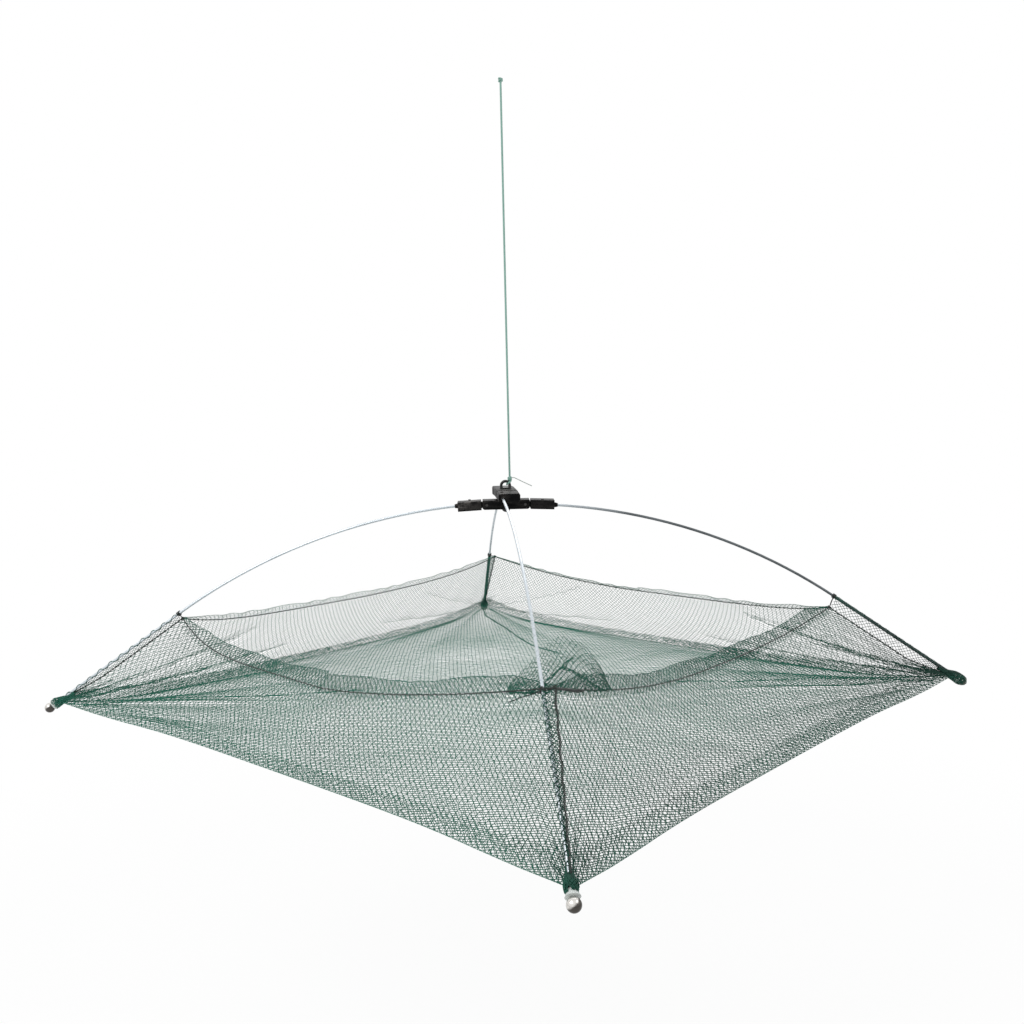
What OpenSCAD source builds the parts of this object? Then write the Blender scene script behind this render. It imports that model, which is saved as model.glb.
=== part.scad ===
// Folding crab trap: a square net bag held open by four sprung arms that hinge on a small crossbar hub.
// Millimetres, +Z up. The origin is on the ground, midway between the four tips; the front arm points to -Y.

/* [Trap] */
// Length of one side of the square that the four tips make
side = 600; // [480:5:760]
// Height of the lower crossbar's axis above the ground
hub_h = 182; // [150:1:220]
// Angle by which the front and back arms stand off square
skew = 3.2; // [0:0.1:5]

/* [Hub] */
// Length of each crossbar between its two hinge faces
bar_len = 42.5; // [38:0.5:60]
// Width of the crossbars and of the arm sleeves
bar_w = 19; // [16:0.5:26]
// Thickness of the crossbars and of the arm sleeves
bar_t = 8.5; // [7:0.1:11]
// Gap between the two crossbars
bar_gap = 1.5; // [0.5:0.1:5]
// Radius of the crossbars' long edges
edge_r = 1.6; // [0.5:0.1:2.5]
// Distance of each hinge pin's axis from the bar's end face
pin_back = 3.8; // [3:0.1:6]
// Diameter of the hinge pins
pin_d = 2.4; // [1.6:0.1:3]
// Width of the sleeve's hinge tongue
tongue_w = 9.6; // [6:0.1:12]
// Thickness of the sleeve's hinge tongue
tongue_d = 5.2; // [4:0.1:6]
// Play between the tongue and the bar's two ears, each side
tongue_play = 0.25; // [0.1:0.05:0.5]
// Gap between a crossbar's end and the sleeve's shoulder
hinge_gap = 1.2; // [0.8:0.1:2]

/* [Eye] */
// Diameter of the stem that goes down through both crossbars
stem_d = 4; // [3:0.1:6]
// Outer width of the ring that the line is tied to
ring_w = 10.4; // [9:0.1:14]
// Thickness of the ring
ring_t = 2.6; // [2:0.1:3.5]
// Diameter of the domed nut under the hub
nut_d = 8; // [7:0.1:12]
// Height of the domed nut
nut_h = 3; // [2.5:0.1:5]

/* [Arms] */
// Length of each sleeve from its shoulder to its mouth
sleeve_len = 21.4; // [18:0.1:32]
// Diameter of the sprung rods
rod_d = 2.4; // [1.8:0.1:3.2]
// Distance of the rod's hole from the sleeve's centre line
rod_off = 6; // [3:0.1:6.5]
// Length of rod inside its sleeve
rod_grip = 15; // [8:0.5:17]
// Slope of the rod where it leaves its sleeve
rod_slope = 4.7; // [2:0.1:8]
// How much steeper the rod's straight end is than the line from mouth to tip
rod_bow = 9.7; // [6:0.1:14]
// Droop of the sleeves under the net's pull
droop = 2.5; // [0:0.1:4]
// Length of the pointed lip at the sleeve's mouth
lip_len = 3; // [1:0.1:5]
// Diameter of the rivet that holds the rod in its sleeve
rivet_d = 2.2; // [1.6:0.1:3]
// Diameter of the ball at each tip
ball_d = 9; // [7:0.1:12]
// Width of the small flat that each ball stands on
flat_w = 3.4; // [2:0.1:4]
// Length of the flared collar behind the ball
collar_len = 5; // [3:0.1:8]
// Wide diameter of the flared collar
collar_d = 9.4; // [7:0.1:12]

/* [Net] */
// Height of the netting's strands above the ground at the floor
net_lift = 0.8; // [0.5:0.1:2]
// Thickness of the netting
net_t = 1; // [0.8:0.1:1.6]
// Pull of the netting inwards at the middle of each side
edge_pull = 30; // [10:1:40]
// Height of the hem cord at the middle of each side
hem_mid_z = 62; // [50:1:80]
// Width of the netting that stands above the hem cord
frill = 12; // [6:1:16]
// Length of the rod from its tip to the hem's tie
tie_len = 148; // [120:1:170]
// Pitch of the gaps that are drawn in the netting
mesh_pitch = 49; // [46:1:64]
// Width of the netting's drawn strands
strand_w = 3; // [2:0.1:5]
// Diameter of the hem cord and of the corner cords
hem_d = 1.8; // [1.2:0.1:2.4]
// Length of the bunched netting behind each collar
bunch_len = 12; // [8:1:20]
// Diameter of the bunched netting
bunch_d = 10; // [8:0.1:14]

/* [Line] */
// Diameter of the hauling line
line_d = 1.8; // [1.2:0.1:3]
// Diameter of the knots in the line
knot_d = 4.6; // [4:0.1:7]

/* [Hidden] */
$fn = 48;

// Running clearance round the hinge pins and the eye's stem, and press clearance round the rods
run_fit = 0.05;
rod_fit = 0.03;
// Space kept between netting or cord and the pieces beside it
soft_gap = 0.4;
eps = 0.01;

// Compass of the arms: the right arm points to +X
ang_right = 0;
ang_left = 180;
ang_near = -90 + skew;
ang_far = 90 + skew;

bar_pitch = bar_t + bar_gap;
low_z = hub_h;
high_z = hub_h + bar_pitch;
pin_x = bar_len / 2 - pin_back;
shoulder_x = bar_len / 2 + hinge_gap;
mouth_x = shoulder_x + sleeve_len;
ear_r = pin_back + hinge_gap - 0.25;
slot_w = tongue_w + 2 * tongue_play;
slot_back = tongue_d / 2 + 0.4;
stop_gap = 0.1;

tip_r = side / sqrt(2);
ball_r = ball_d / 2;
rod_r = rod_d / 2;
ball_z = sqrt(pow(ball_r, 2) - pow(flat_w / 2, 2));
grip_mid = mouth_x - rod_grip / 2;
rod_yaw = asin(rod_off / (tip_r - grip_mid));

// The rod as one arc that runs on into a straight end: the mouth's height, the slope of the straight
// end, the arc's radius and the straight length that make both ends meet
function mouth_z(hz) = hz - (mouth_x - pin_x) * sin(droop) - 0.2;
function chord(hz) = atan2(mouth_z(hz) - ball_z, tip_r - mouth_x);
function end_slope(hz) = chord(hz) + rod_bow;
function arc_det(a) = (sin(a) - sin(rod_slope)) * sin(a) - cos(a) * (cos(rod_slope) - cos(a));
function arc_r(hz) = let(a = end_slope(hz), dx = tip_r - mouth_x, dz = mouth_z(hz) - ball_z)
    (dx * sin(a) - dz * cos(a)) / arc_det(a);
function run_len(hz) = let(a = end_slope(hz), dz = mouth_z(hz) - ball_z)
    (dz - arc_r(hz) * (cos(rod_slope) - cos(a))) / sin(a);

// Half of the angle between two neighbouring arms, to the left and to the right of each arm
half_wide = 45 + skew / 2;
half_slim = 45 - skew / 2;

// Places the children on an arm, its hinge side at the hub and +X towards its tip
module arm(angle) {
    rotate([0, 0, angle]) children();
}

// Places the children in the rod's own upright plane
module rod_plane() {
    translate([tip_r, 0, 0]) rotate([0, 0, rod_yaw]) translate([-tip_r, 0, 0]) children();
}

// Places the children at the ball's centre with +X running out of the rod's end
module at_tip(hz) {
    rod_plane() translate([tip_r, 0, ball_z]) rotate([0, end_slope(hz), 0]) children();
}

// A tube or ring about the X axis, from x0 to x1, with an outer radius at each end
module ring_x(x0, x1, r0, r1, bore) {
    rotate([0, 90, 0]) rotate_extrude()
        polygon([[bore, x0], [r0, x0], [r1, x1], [bore, x1]]);
}

/* ---- hub ---- */

// A bar of the hub's section with rounded long edges, from x0 to x1
module bar_section(x0, x1) {
    w = bar_w / 2 - edge_r;
    t = bar_t / 2 - edge_r;
    translate([x0, 0, 0]) rotate([90, 0, 90]) linear_extrude(x1 - x0) union() {
        square([bar_w, 2 * t], center = true);
        square([2 * w, bar_t], center = true);
        for (sx = [-1, 1], sy = [-1, 1]) translate([sx * w, sy * t]) circle(edge_r);
    }
}

// The hole for a hinge pin, and the pocket in which the tongue turns. The pocket's roof is the arm's stop
module hinge_room(sx) {
    translate([sx * pin_x, bar_w, 0]) rotate([90, 0, 0]) cylinder(h = 2 * bar_w, r = pin_d / 2 + run_fit);
    translate([sx > 0 ? pin_x - slot_back : slot_back - pin_x - bar_len, -slot_w / 2, -bar_t])
        cube([bar_len, slot_w, bar_t + tongue_d / 2 + stop_gap]);
}

// The lower outer edge of the ears, rounded about the pin so that the sleeve's shoulder swings past it
module ear_round(sx) {
    translate([sx * pin_x, 0, 0]) difference() {
        translate([sx > 0 ? 0 : -2 * pin_back, -bar_w, -bar_t]) cube([2 * pin_back, 2 * bar_w, bar_t]);
        translate([0, 2 * bar_w, 0]) rotate([90, 0, 0]) cylinder(h = 4 * bar_w, r = ear_r);
    }
}

module crossbar() {
    difference() {
        bar_section(-bar_len / 2, bar_len / 2);
        for (sx = [-1, 1]) {
            hinge_room(sx);
            ear_round(sx);
        }
        translate([0, 0, -bar_t]) cylinder(h = 2 * bar_t, r = stem_d / 2 + run_fit);
    }
}

// The lower bar has a round boss on top that the upper bar sits on
module lower_bar() {
    color("#17181a") translate([0, 0, low_z]) {
        crossbar();
        translate([0, 0, bar_t / 2]) rotate_extrude()
            polygon([[stem_d / 2 + run_fit, -0.2], [bar_w / 2 - 2, -0.2],
                [bar_w / 2 - 2, bar_pitch - bar_t], [stem_d / 2 + run_fit, bar_pitch - bar_t]]);
    }
}

module upper_bar() {
    color("#2a2b2b") translate([0, 0, high_z]) rotate([0, 0, 90 + skew]) crossbar();
}

module hinge_pin(hz) {
    color("#3a3b3c") translate([pin_x, (bar_w - 0.6) / 2, hz]) rotate([90, 0, 0])
        cylinder(h = bar_w - 0.6, d = pin_d);
}

// The ring is cut off level where it sits on its round foot; the stem runs on down to the nut
foot_z = high_z + bar_t / 2 + 0.2;
ring_z = foot_z + 2.4;
nut_top = low_z - bar_t / 2 - 0.2;

module eye_pin() {
    foot_t = 0.9;
    color("#141516") union() {
        difference() {
            translate([0, 0, ring_z]) rotate([90, 0, 0]) rotate_extrude()
                translate([(ring_w - ring_t) / 2, 0]) circle(d = ring_t);
            translate([-ring_w, -ring_w, foot_z - 2 * ring_w]) cube(2 * ring_w);
        }
        translate([0, 0, foot_z]) cylinder(h = foot_t, d = ring_w);
        translate([0, 0, nut_top - nut_h + 1]) cylinder(h = foot_z - nut_top + nut_h - 1 + eps, d = stem_d);
    }
}

module eye_nut() {
    dome_r = (pow(nut_d / 2, 2) + pow(nut_h, 2)) / (2 * nut_h);
    color("#17181a") difference() {
        intersection() {
            translate([0, 0, nut_top - nut_h + dome_r]) sphere(r = dome_r);
            translate([0, 0, nut_top - nut_h]) cylinder(h = nut_h, d = nut_d);
        }
        translate([0, 0, nut_top - nut_h + 1 - run_fit]) cylinder(h = nut_h, d = stem_d + 2 * rod_fit);
    }
}

/* ---- arms ---- */

// Places the children on the sleeve, which droops a little about its hinge pin
module drooped(hz) {
    translate([pin_x, 0, hz]) rotate([0, droop, 0]) translate([-pin_x, 0, 0]) children();
}

// The straight piece of the rod inside the sleeve, as a solid of radius r that starts back from the mouth
module rod_inside(hz, r, back, ahead) {
    rod_plane() translate([mouth_x, 0, mouth_z(hz)]) rotate([0, 90 + rod_slope, 0])
        translate([0, 0, -back]) cylinder(h = back + ahead, r = r);
}

module sleeve(hz) {
    color("#1b1c1d") difference() {
        union() {
            drooped(hz) {
                bar_section(shoulder_x, mouth_x);
                translate([pin_x, tongue_w / 2, 0]) rotate([90, 0, 0]) cylinder(h = tongue_w, d = tongue_d);
                translate([pin_x, -tongue_w / 2, -tongue_d / 2])
                    cube([shoulder_x - pin_x + eps, tongue_w, tongue_d]);
            }
            rod_plane() translate([mouth_x, 0, mouth_z(hz)]) rotate([0, rod_slope, 0])
                ring_x(-1, lip_len, rod_r + 1.4, rod_r + 0.5, 0);
        }
        drooped(hz) translate([pin_x, bar_w, 0]) rotate([90, 0, 0])
            cylinder(h = 2 * bar_w, r = pin_d / 2 + run_fit);
        rod_inside(hz, rod_r + rod_fit, rod_grip + 0.2, lip_len + 1);
        rivet_shape(hz, rod_fit);
    }
}

// The rivet's shank stands on the rod and shows above the sleeve
module rivet_shape(hz, grow) {
    rx = mouth_x - sleeve_len / 2;
    rod_plane() translate([rx, 0, mouth_z(hz) + (mouth_x - rx) * tan(rod_slope)]) {
        translate([0, 0, rod_r + 0.02]) cylinder(h = bar_t - rod_r, r = rivet_d / 2 + grow);
    }
}

module rod_rivet(hz) {
    rx = mouth_x - sleeve_len / 2;
    top = bar_t / 2 + hz - (rx - pin_x) * sin(droop) + 0.12;
    color("#4a4b4b") intersection() {
        rivet_shape(hz, 0);
        translate([rx - bar_w, -bar_w, top - 2 * bar_t]) cube([2 * bar_w, 2 * bar_w, 2 * bar_t + 0.7]);
    }
}

// The rod's straight ends are a hair thinner than its arc, and start inside it
rod_step = 0.02;
rod_lap = 1;

module rod(hz) {
    a = end_slope(hz);
    r = arc_r(hz);
    color("#b9c3c8") union() {
        rod_inside(hz, rod_r - rod_step, rod_grip, rod_lap);
        rod_plane() translate([mouth_x - r * sin(rod_slope), 0, mouth_z(hz) - r * cos(rod_slope)])
            rotate([90, 0, 0]) rotate([0, 0, 90 - a]) rotate_extrude(angle = a - rod_slope, $fn = 360)
                translate([r, 0]) circle(r = rod_r, $fn = 48);
        at_tip(hz) rotate([0, -90, 0]) cylinder(h = run_len(hz) + rod_lap, r = rod_r - rod_step);
    }
}

module tip_ball(hz) {
    color("#c8c9c6") difference() {
        rod_plane() translate([tip_r, 0, ball_z]) sphere(r = ball_r);
        at_tip(hz) rotate([0, -90, 0]) translate([0, 0, -run_fit]) cylinder(h = ball_d, r = rod_r + rod_fit);
        translate([tip_r - ball_d, -ball_d, -ball_d]) cube([2 * ball_d, 2 * ball_d, ball_d]);
    }
}

module tip_collar(hz) {
    start = -ball_r - 0.1;
    color("#dfe5e0") at_tip(hz) difference() {
        ring_x(start - collar_len, start, rod_r + 1.2, collar_d / 2, rod_r + rod_fit);
        sphere(r = ball_r + 0.05);
    }
}

/* ---- netting and its cords ---- */

// Bunched netting lashed round the rod behind the collar
module corner_bunch(hz) {
    start = -ball_r - collar_len - 0.4;
    bore = rod_r + soft_gap;
    color("#1f4d36") at_tip(hz) rotate([0, -90, 0]) rotate_extrude()
        polygon([[bore, -start], [bunch_d / 2 - 1.5, -start], [bunch_d / 2, -start + bunch_len * 0.3],
            [bunch_d / 2 - 0.3, -start + bunch_len * 0.8], [bunch_d / 2 - 0.8, -start + bunch_len],
            [bore, -start + bunch_len]]);
}

bunch_end = ball_r + collar_len + bunch_len + 1;
corner_n = rod_r + soft_gap + hem_d / 2;

// A cord that closes the bag's corner, under the rod's straight end
module corner_cord(hz) {
    color("#14231c") at_tip(hz) translate([-bunch_end, 0, -corner_n]) rotate([0, -90, 0])
        cylinder(h = tie_len - bunch_end - 2, d = hem_d);
}

// The hem is tied to the rod with a turn of cord
module hem_tie(hz) {
    bore = rod_r + soft_gap;
    color("#101312") at_tip(hz) rotate([0, -90, 0]) translate([0, 0, tie_len + 1])
        rotate_extrude() polygon([[bore, -1.6], [bore + 1.4, -1.6], [bore + 1.9, 0], [bore + 1.4, 1.6],
            [bore, 1.6]]);
}

// Vector helpers
function unit(v) = v / norm(v);
function across(a, b) = unit(cross(a, b));

// The frame of one half wall: where the corner cord's line meets the ground, that line's direction, the
// wall's direction away from the corner, and its outward normal. s is 1 left of the arm and -1 right
function half_angle(hz, s) = (s > 0) == (hz == low_z) ? half_wide : half_slim;
function mid_foot(hz, s) = let(h = half_angle(hz, s), d = tip_r * cos(h) - edge_pull)
    [d * cos(h), s * d * sin(h), net_lift];
function corner_foot(hz) = let(a = end_slope(hz), out = (ball_z - net_lift) / tan(a) - corner_n / sin(a))
    [tip_r + out * cos(rod_yaw), out * sin(rod_yaw), net_lift];
function corner_dir(hz) = let(a = end_slope(hz))
    [-cos(a) * cos(rod_yaw), -cos(a) * sin(rod_yaw), sin(a)];
// Distance that each panel's edge keeps from the corner cord's line
corner_gap = hem_d / 2 + soft_gap + 0.3;
function wall_dir(hz, s) = let(m = mid_foot(hz, s) - corner_foot(hz), c = corner_dir(hz))
    unit(m - (m * c) * c);
function wall_out(hz, s) = s * cross(wall_dir(hz, s), corner_dir(hz));

// Flat coordinates of a point on the wall: distance up the corner, and distance from the corner
function flat(hz, s, p) = let(q = p - corner_foot(hz)) [q * corner_dir(hz), q * wall_dir(hz, s)];
function solid_at(hz, s, uv) = corner_foot(hz) + uv[0] * corner_dir(hz) + uv[1] * wall_dir(hz, s);

// Distance that each panel keeps from the plane between two arms
panel_gap = 0.45;

// The point of the wall on the plane between two arms, at height z, kept a little back from it
function mid_at(hz, s, z) = let(h = half_angle(hz, s), c = corner_foot(hz), n = wall_out(hz, s),
    g = [cos(h), s * sin(h), 0], t = (n * c - n * [0, 0, z]) / (n * g), p = [t * g[0], t * g[1], z])
    p - panel_gap * [-sin(h), s * cos(h), 0];

tie_u = tie_len - 1.2;
// Height of the hem above the straight line from tie to tie, falling away from the tie
hem_steps = 6;
function hem_uv(hz, s, k) = let(a = [tie_u, corner_gap], b = flat(hz, s, mid_at(hz, s, hem_mid_z)),
    c = flat(hz, s, mid_at(hz, s, hem_mid_z + 20)), f = k / hem_steps, up = unit(c - b),
    drop = (a - b) * up, level = a + f * (b + drop * up - a))
    level - drop * (1 - pow(1 - f, 3)) * up;
function frill_uv(hz, s, k) = hem_uv(hz, s, k) + (k > 0 ? frill : 0)
    * unit(flat(hz, s, mid_at(hz, s, hem_mid_z + 20)) - flat(hz, s, mid_at(hz, s, hem_mid_z)));

function wall_outline(hz, s) = let(foot = flat(hz, s, mid_at(hz, s, net_lift)),
    low = [bunch_end + 8, corner_gap], e = unit(foot), start = e * (low[0] / e[0]) )
    concat([low], [for (k = [0:hem_steps]) frill_uv(hz, s, k)], [foot], [start + [0, 0.2]]);

// Diamond gaps that fit whole inside the lines of an outline: each line is a point and an inward normal
function clear_of(c, lines, q, rim) = min([for (l = lines)
    (c - l[0]) * l[1] - q * max(abs(l[1][0]), abs(l[1][1]))]) >= rim;
function line_in(p, q) = let(d = unit(q - p)) [p, [d[1], -d[0]]];
function flip(l) = [l[0], -l[1]];

module diamonds(lines, x0, x1, y0, y1, lift) {
    q = (mesh_pitch - strand_w * sqrt(2)) / 2;
    h = mesh_pitch / 2;
    for (i = [ceil(x0 / h):floor(x1 / h)], j = [ceil(y0 / h):floor(y1 / h)])
        if ((i + j) % 2 == 0 && clear_of([i * h, j * h], lines, q, strand_w))
            translate([i * h, j * h, -lift]) linear_extrude(net_t + 2 * lift)
                polygon([[q, 0], [0, q], [-q, 0], [0, -q]]);
}

// One half wall, a flat net panel from the corner to the middle of the side
module half_wall(hz, s) {
    o = wall_outline(hz, s);
    foot = flat(hz, s, mid_at(hz, s, net_lift));
    top_a = frill_uv(hz, s, 1);
    top_b = frill_uv(hz, s, 4);
    top_m = frill_uv(hz, s, hem_steps);
    inward = [for (l = [[[0, 0], [1, 0]], [[0, 0], foot], [top_a, top_m], [foot, top_m]])
        line_in(l[0], l[1])];
    mid = (o[1] + foot) / 2;
    lines = [for (l = inward) (mid - l[0]) * l[1] > 0 ? l : flip(l)];
    c = corner_foot(hz);
    u = corner_dir(hz);
    v = wall_dir(hz, s);
    w = wall_out(hz, s);
    m = [[u[0], v[0], w[0], c[0]], [u[1], v[1], w[1], c[1]], [u[2], v[2], w[2], c[2]], [0, 0, 0, 1]];
    multmatrix(m) difference() {
        linear_extrude(net_t) polygon(o);
        diamonds(lines, 0, tie_u + 20, 0, tip_r, 1);
    }
}

module net_wall(hz) {
    color("#2f6b4c") for (s = [-1, 1]) half_wall(hz, s);
}

// A tube swept along points, with a steady side direction
tube_sides = 8;
function tangent(p, i) = unit(p[min(i + 1, len(p) - 1)] - p[max(i - 1, 0)]);
function ring_at(p, i, r, ref) = let(t = tangent(p, i), a = across(t, ref), b = cross(a, t))
    [for (k = [0:tube_sides - 1]) p[i] + r * (cos(360 * k / tube_sides) * a + sin(360 * k / tube_sides) * b)];
module tube(p, r, ref) {
    n = len(p);
    m = tube_sides;
    points = [for (i = [0:n - 1]) each ring_at(p, i, r, ref)];
    walls = [for (i = [0:n - 2], k = [0:m - 1]) each
        [[i * m + k, i * m + (k + 1) % m, (i + 1) * m + k],
        [i * m + (k + 1) % m, (i + 1) * m + (k + 1) % m, (i + 1) * m + k]]];
    first = [for (k = [1:m - 2]) [0, k + 1, k]];
    last = [for (k = [1:m - 2]) [(n - 1) * m, (n - 1) * m + k, (n - 1) * m + k + 1]];
    polyhedron(points, concat(walls, first, last));
}

// The hem cord runs inside the netting's edge, from the tie to the middle of the side each way
module hem_cord(hz) {
    color("#101312") for (s = [-1, 1]) {
        inner = -(hem_d / 2 + soft_gap) * wall_out(hz, s);
        route = [for (k = [0:2 * hem_steps]) let(f = k == 0 ? 0.25 : k / 2)
            solid_at(hz, s, hem_uv(hz, s, f)) + inner];
        tube(route, hem_d / 2, wall_out(hz, s));
    }
}

// A quarter of the bag's floor, between the lines to the middles of its two sides
module net_floor(hz) {
    back = panel_gap;
    lead = corner_foot(hz)[0] - bunch_end - 12;
    inner = 0.9;
    ml = mid_foot(hz, 1);
    mr = mid_foot(hz, -1);
    hl = half_angle(hz, 1);
    hr = half_angle(hz, -1);
    cl = corner_foot(hz);
    pl = [ml[0] - inner, ml[1] - inner - back];
    pr = [mr[0] - inner, mr[1] + inner + back];
    tl = [lead, (cl[0] - lead) / (cl[0] - ml[0]) * ml[1] - 2 * inner];
    tr = [lead, (cl[0] - lead) / (cl[0] - mr[0]) * mr[1] + 2 * inner];
    outline = [[back / sin(hl) + 0.2, 0], pl, tl, tr, pr];
    raw = [line_in(outline[0], pl), line_in(pl, tl), line_in(tl, tr), line_in(tr, pr),
        line_in(pr, outline[0])];
    mid = [lead / 2, 0];
    lines = [for (l = raw) (mid - l[0]) * l[1] > 0 ? l : flip(l)];
    color("#2f6b4c") translate([0, 0, net_lift]) difference() {
        linear_extrude(net_t) polygon(outline);
        diamonds(lines, 0, lead, -tip_r / 2 - mesh_pitch, tip_r / 2 + mesh_pitch, 1);
    }
}

// Spare netting that stands up inside the front corner, from one wall's hem to the other's: the places of
// its foot, and how high it stands there
flap_z = 81;
flap_mid = [[262, -11, 17], [253, -2, 26], [248, 10, 31], [246, 22, 30], [245, 33, 22]];
function flap_end(s, k) = solid_at(high_z, s, (hem_uv(high_z, s, k) + frill_uv(high_z, s, k)) / 2)
    - (net_t / 2 + soft_gap) * wall_out(high_z, s);
flap_right = flap_end(-1, 0.6);
flap_left = flap_end(1, 1.3);
flap_plan = concat([[flap_right[0], flap_right[1], flap_right[2] - flap_z + 2]],
    [for (p = flap_mid) [p[0] + tip_r - 424, p[1], p[2]]],
    [[flap_left[0], flap_left[1], flap_left[2] - flap_z + 2]]);
module net_flap() {
    n = len(flap_plan);
    levels = 3;
    grow = [for (i = [0:n - 1]) let(a = flap_plan[max(i - 1, 0)], b = flap_plan[min(i + 1, n - 1)],
        d = unit([b[0] - a[0], b[1] - a[1]])) [-d[1], d[0], 0] * net_t];
    skin = [for (i = [0:n - 1], j = [0:levels]) let(p = flap_plan[i], f = j / levels)
        [p[0] - 4 * f * f, p[1], flap_z + p[2] * f]];
    m = levels + 1;
    back = [for (i = [0:n - 1], j = [0:levels]) skin[i * m + j] + grow[i]];
    k = n * m;
    faces = concat(
        [for (i = [0:n - 2], j = [0:levels - 1]) each let(a = i * m + j, b = a + m)
            [[a, b, a + 1], [b, b + 1, a + 1], [k + a, k + a + 1, k + b], [k + b, k + a + 1, k + b + 1]]],
        [for (i = [0:n - 2]) each let(a = i * m, b = a + m, c = a + levels, d = b + levels)
            [[a, k + a, b], [b, k + a, k + b], [c, d, k + c], [d, k + d, k + c]]],
        [for (j = [0:levels - 1]) each let(a = j, b = (n - 1) * m + j)
            [[a, a + 1, k + a], [a + 1, k + a + 1, k + a], [b, k + b, b + 1], [b + 1, k + b, k + b + 1]]]);
    color("#2c6848") polyhedron(concat(skin, back), faces);
}

/* ---- line ---- */

// The hauling line goes straight up from the ring's right shoulder, pulled tight
line_x = 4;
// Height of the eye's foot that the line's points are given for
line_datum = 196.45;
line_up = foot_z - line_datum;
line_top = 554;
line_route = [207, 232, 256, 280, 304, 328, 352, 376, 400, 424, 448, 472, 496, 520, 540, 554];
line_subs = 4;
// How far the line runs into each knot
knot_lap = 1;
line_points = [for (i = [0:len(line_route) - 2], j = [0:line_subs - 1])
    [line_x, 0, line_route[i] + (line_route[i + 1] - line_route[i]) * j / line_subs] + [0, 0, line_up]];

module haul_line() {
    color("#8fb5a6") tube(concat(line_points, [[line_x, 0, line_top + line_up]]), line_d / 2, [0, 1, 0]);
}

// The knot's loop goes round the ring's wire, and the knot sits on it
module line_knot() {
    wire = (ring_w - ring_t) / 2;
    knot_z = line_route[0] + line_up - knot_d / 2 + knot_lap;
    bore = ring_t / 2 + 0.3;
    color("#8fb5a6") union() {
        translate([line_x * 0.75, 0, ring_z + sqrt(pow(wire, 2) - pow(line_x * 0.75, 2))])
            rotate([0, 90 + 52, 0]) rotate_extrude() translate([bore + line_d / 2, 0]) circle(d = line_d, $fn = 20);
        translate([line_x, 0, knot_z]) sphere(d = knot_d, $fn = 28);
    }
}

// A loose end of the knot hangs out to the right
tail_d = 0.8;
tail_route = [[6, -1, 206], [8, -1, 206], [10, -1, 205], [12, -1, 204], [14, -2, 203], [16, -2, 202],
    [18, -2, 201], [20, -2, 200], [22, -2, 199], [24, -2, 198]];
module line_tail() {
    color("#b8c4bd") tube([for (p = tail_route) p + [0, 0, line_up]], tail_d / 2, [0, 1, 0]);
}

module line_end_knot() {
    color("#8fb5a6") translate([line_x, 0, line_top + line_up + knot_d / 2 - knot_lap]) sphere(d = knot_d, $fn = 28);
}

lower_bar();
upper_bar();
arm(ang_left) hinge_pin(low_z);  // hinge_pin_left
arm(ang_right) hinge_pin(low_z);  // hinge_pin_right
arm(ang_near) hinge_pin(high_z);  // hinge_pin_near
arm(ang_far) hinge_pin(high_z);  // hinge_pin_far
eye_pin();
eye_nut();
arm(ang_left) sleeve(low_z);  // sleeve_left
arm(ang_right) sleeve(low_z);  // sleeve_right
arm(ang_near) sleeve(high_z);  // sleeve_near
arm(ang_far) sleeve(high_z);  // sleeve_far
arm(ang_left) rod_rivet(low_z);  // rod_rivet_left
arm(ang_right) rod_rivet(low_z);  // rod_rivet_right
arm(ang_near) rod_rivet(high_z);  // rod_rivet_near
arm(ang_far) rod_rivet(high_z);  // rod_rivet_far
arm(ang_left) rod(low_z);  // rod_left
arm(ang_right) rod(low_z);  // rod_right
arm(ang_near) rod(high_z);  // rod_near
arm(ang_far) rod(high_z);  // rod_far
arm(ang_left) tip_collar(low_z);  // tip_collar_left
arm(ang_right) tip_collar(low_z);  // tip_collar_right
arm(ang_near) tip_collar(high_z);  // tip_collar_near
arm(ang_far) tip_collar(high_z);  // tip_collar_far
arm(ang_left) tip_ball(low_z);  // tip_ball_left
arm(ang_right) tip_ball(low_z);  // tip_ball_right
arm(ang_near) tip_ball(high_z);  // tip_ball_near
arm(ang_far) tip_ball(high_z);  // tip_ball_far
arm(ang_left) corner_bunch(low_z);  // corner_bunch_left
arm(ang_right) corner_bunch(low_z);  // corner_bunch_right
arm(ang_near) corner_bunch(high_z);  // corner_bunch_near
arm(ang_far) corner_bunch(high_z);  // corner_bunch_far
arm(ang_left) corner_cord(low_z);  // corner_cord_left
arm(ang_right) corner_cord(low_z);  // corner_cord_right
arm(ang_near) corner_cord(high_z);  // corner_cord_near
arm(ang_far) corner_cord(high_z);  // corner_cord_far
arm(ang_left) hem_tie(low_z);  // hem_tie_left
arm(ang_right) hem_tie(low_z);  // hem_tie_right
arm(ang_near) hem_tie(high_z);  // hem_tie_near
arm(ang_far) hem_tie(high_z);  // hem_tie_far
arm(ang_left) hem_cord(low_z);  // hem_cord_left
arm(ang_right) hem_cord(low_z);  // hem_cord_right
arm(ang_near) hem_cord(high_z);  // hem_cord_near
arm(ang_far) hem_cord(high_z);  // hem_cord_far
arm(ang_left) net_wall(low_z);  // net_wall_left
arm(ang_right) net_wall(low_z);  // net_wall_right
arm(ang_near) net_wall(high_z);  // net_wall_near
arm(ang_far) net_wall(high_z);  // net_wall_far
arm(ang_left) net_floor(low_z);  // net_floor_left
arm(ang_right) net_floor(low_z);  // net_floor_right
arm(ang_near) net_floor(high_z);  // net_floor_near
arm(ang_far) net_floor(high_z);  // net_floor_far
arm(ang_near) net_flap();
haul_line();
line_knot();
line_tail();
line_end_knot();
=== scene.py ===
import math

import bpy
import numpy as np
from bpy.props import FloatProperty, FloatVectorProperty, IntProperty, PointerProperty
from mathutils import Matrix, Vector


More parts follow.
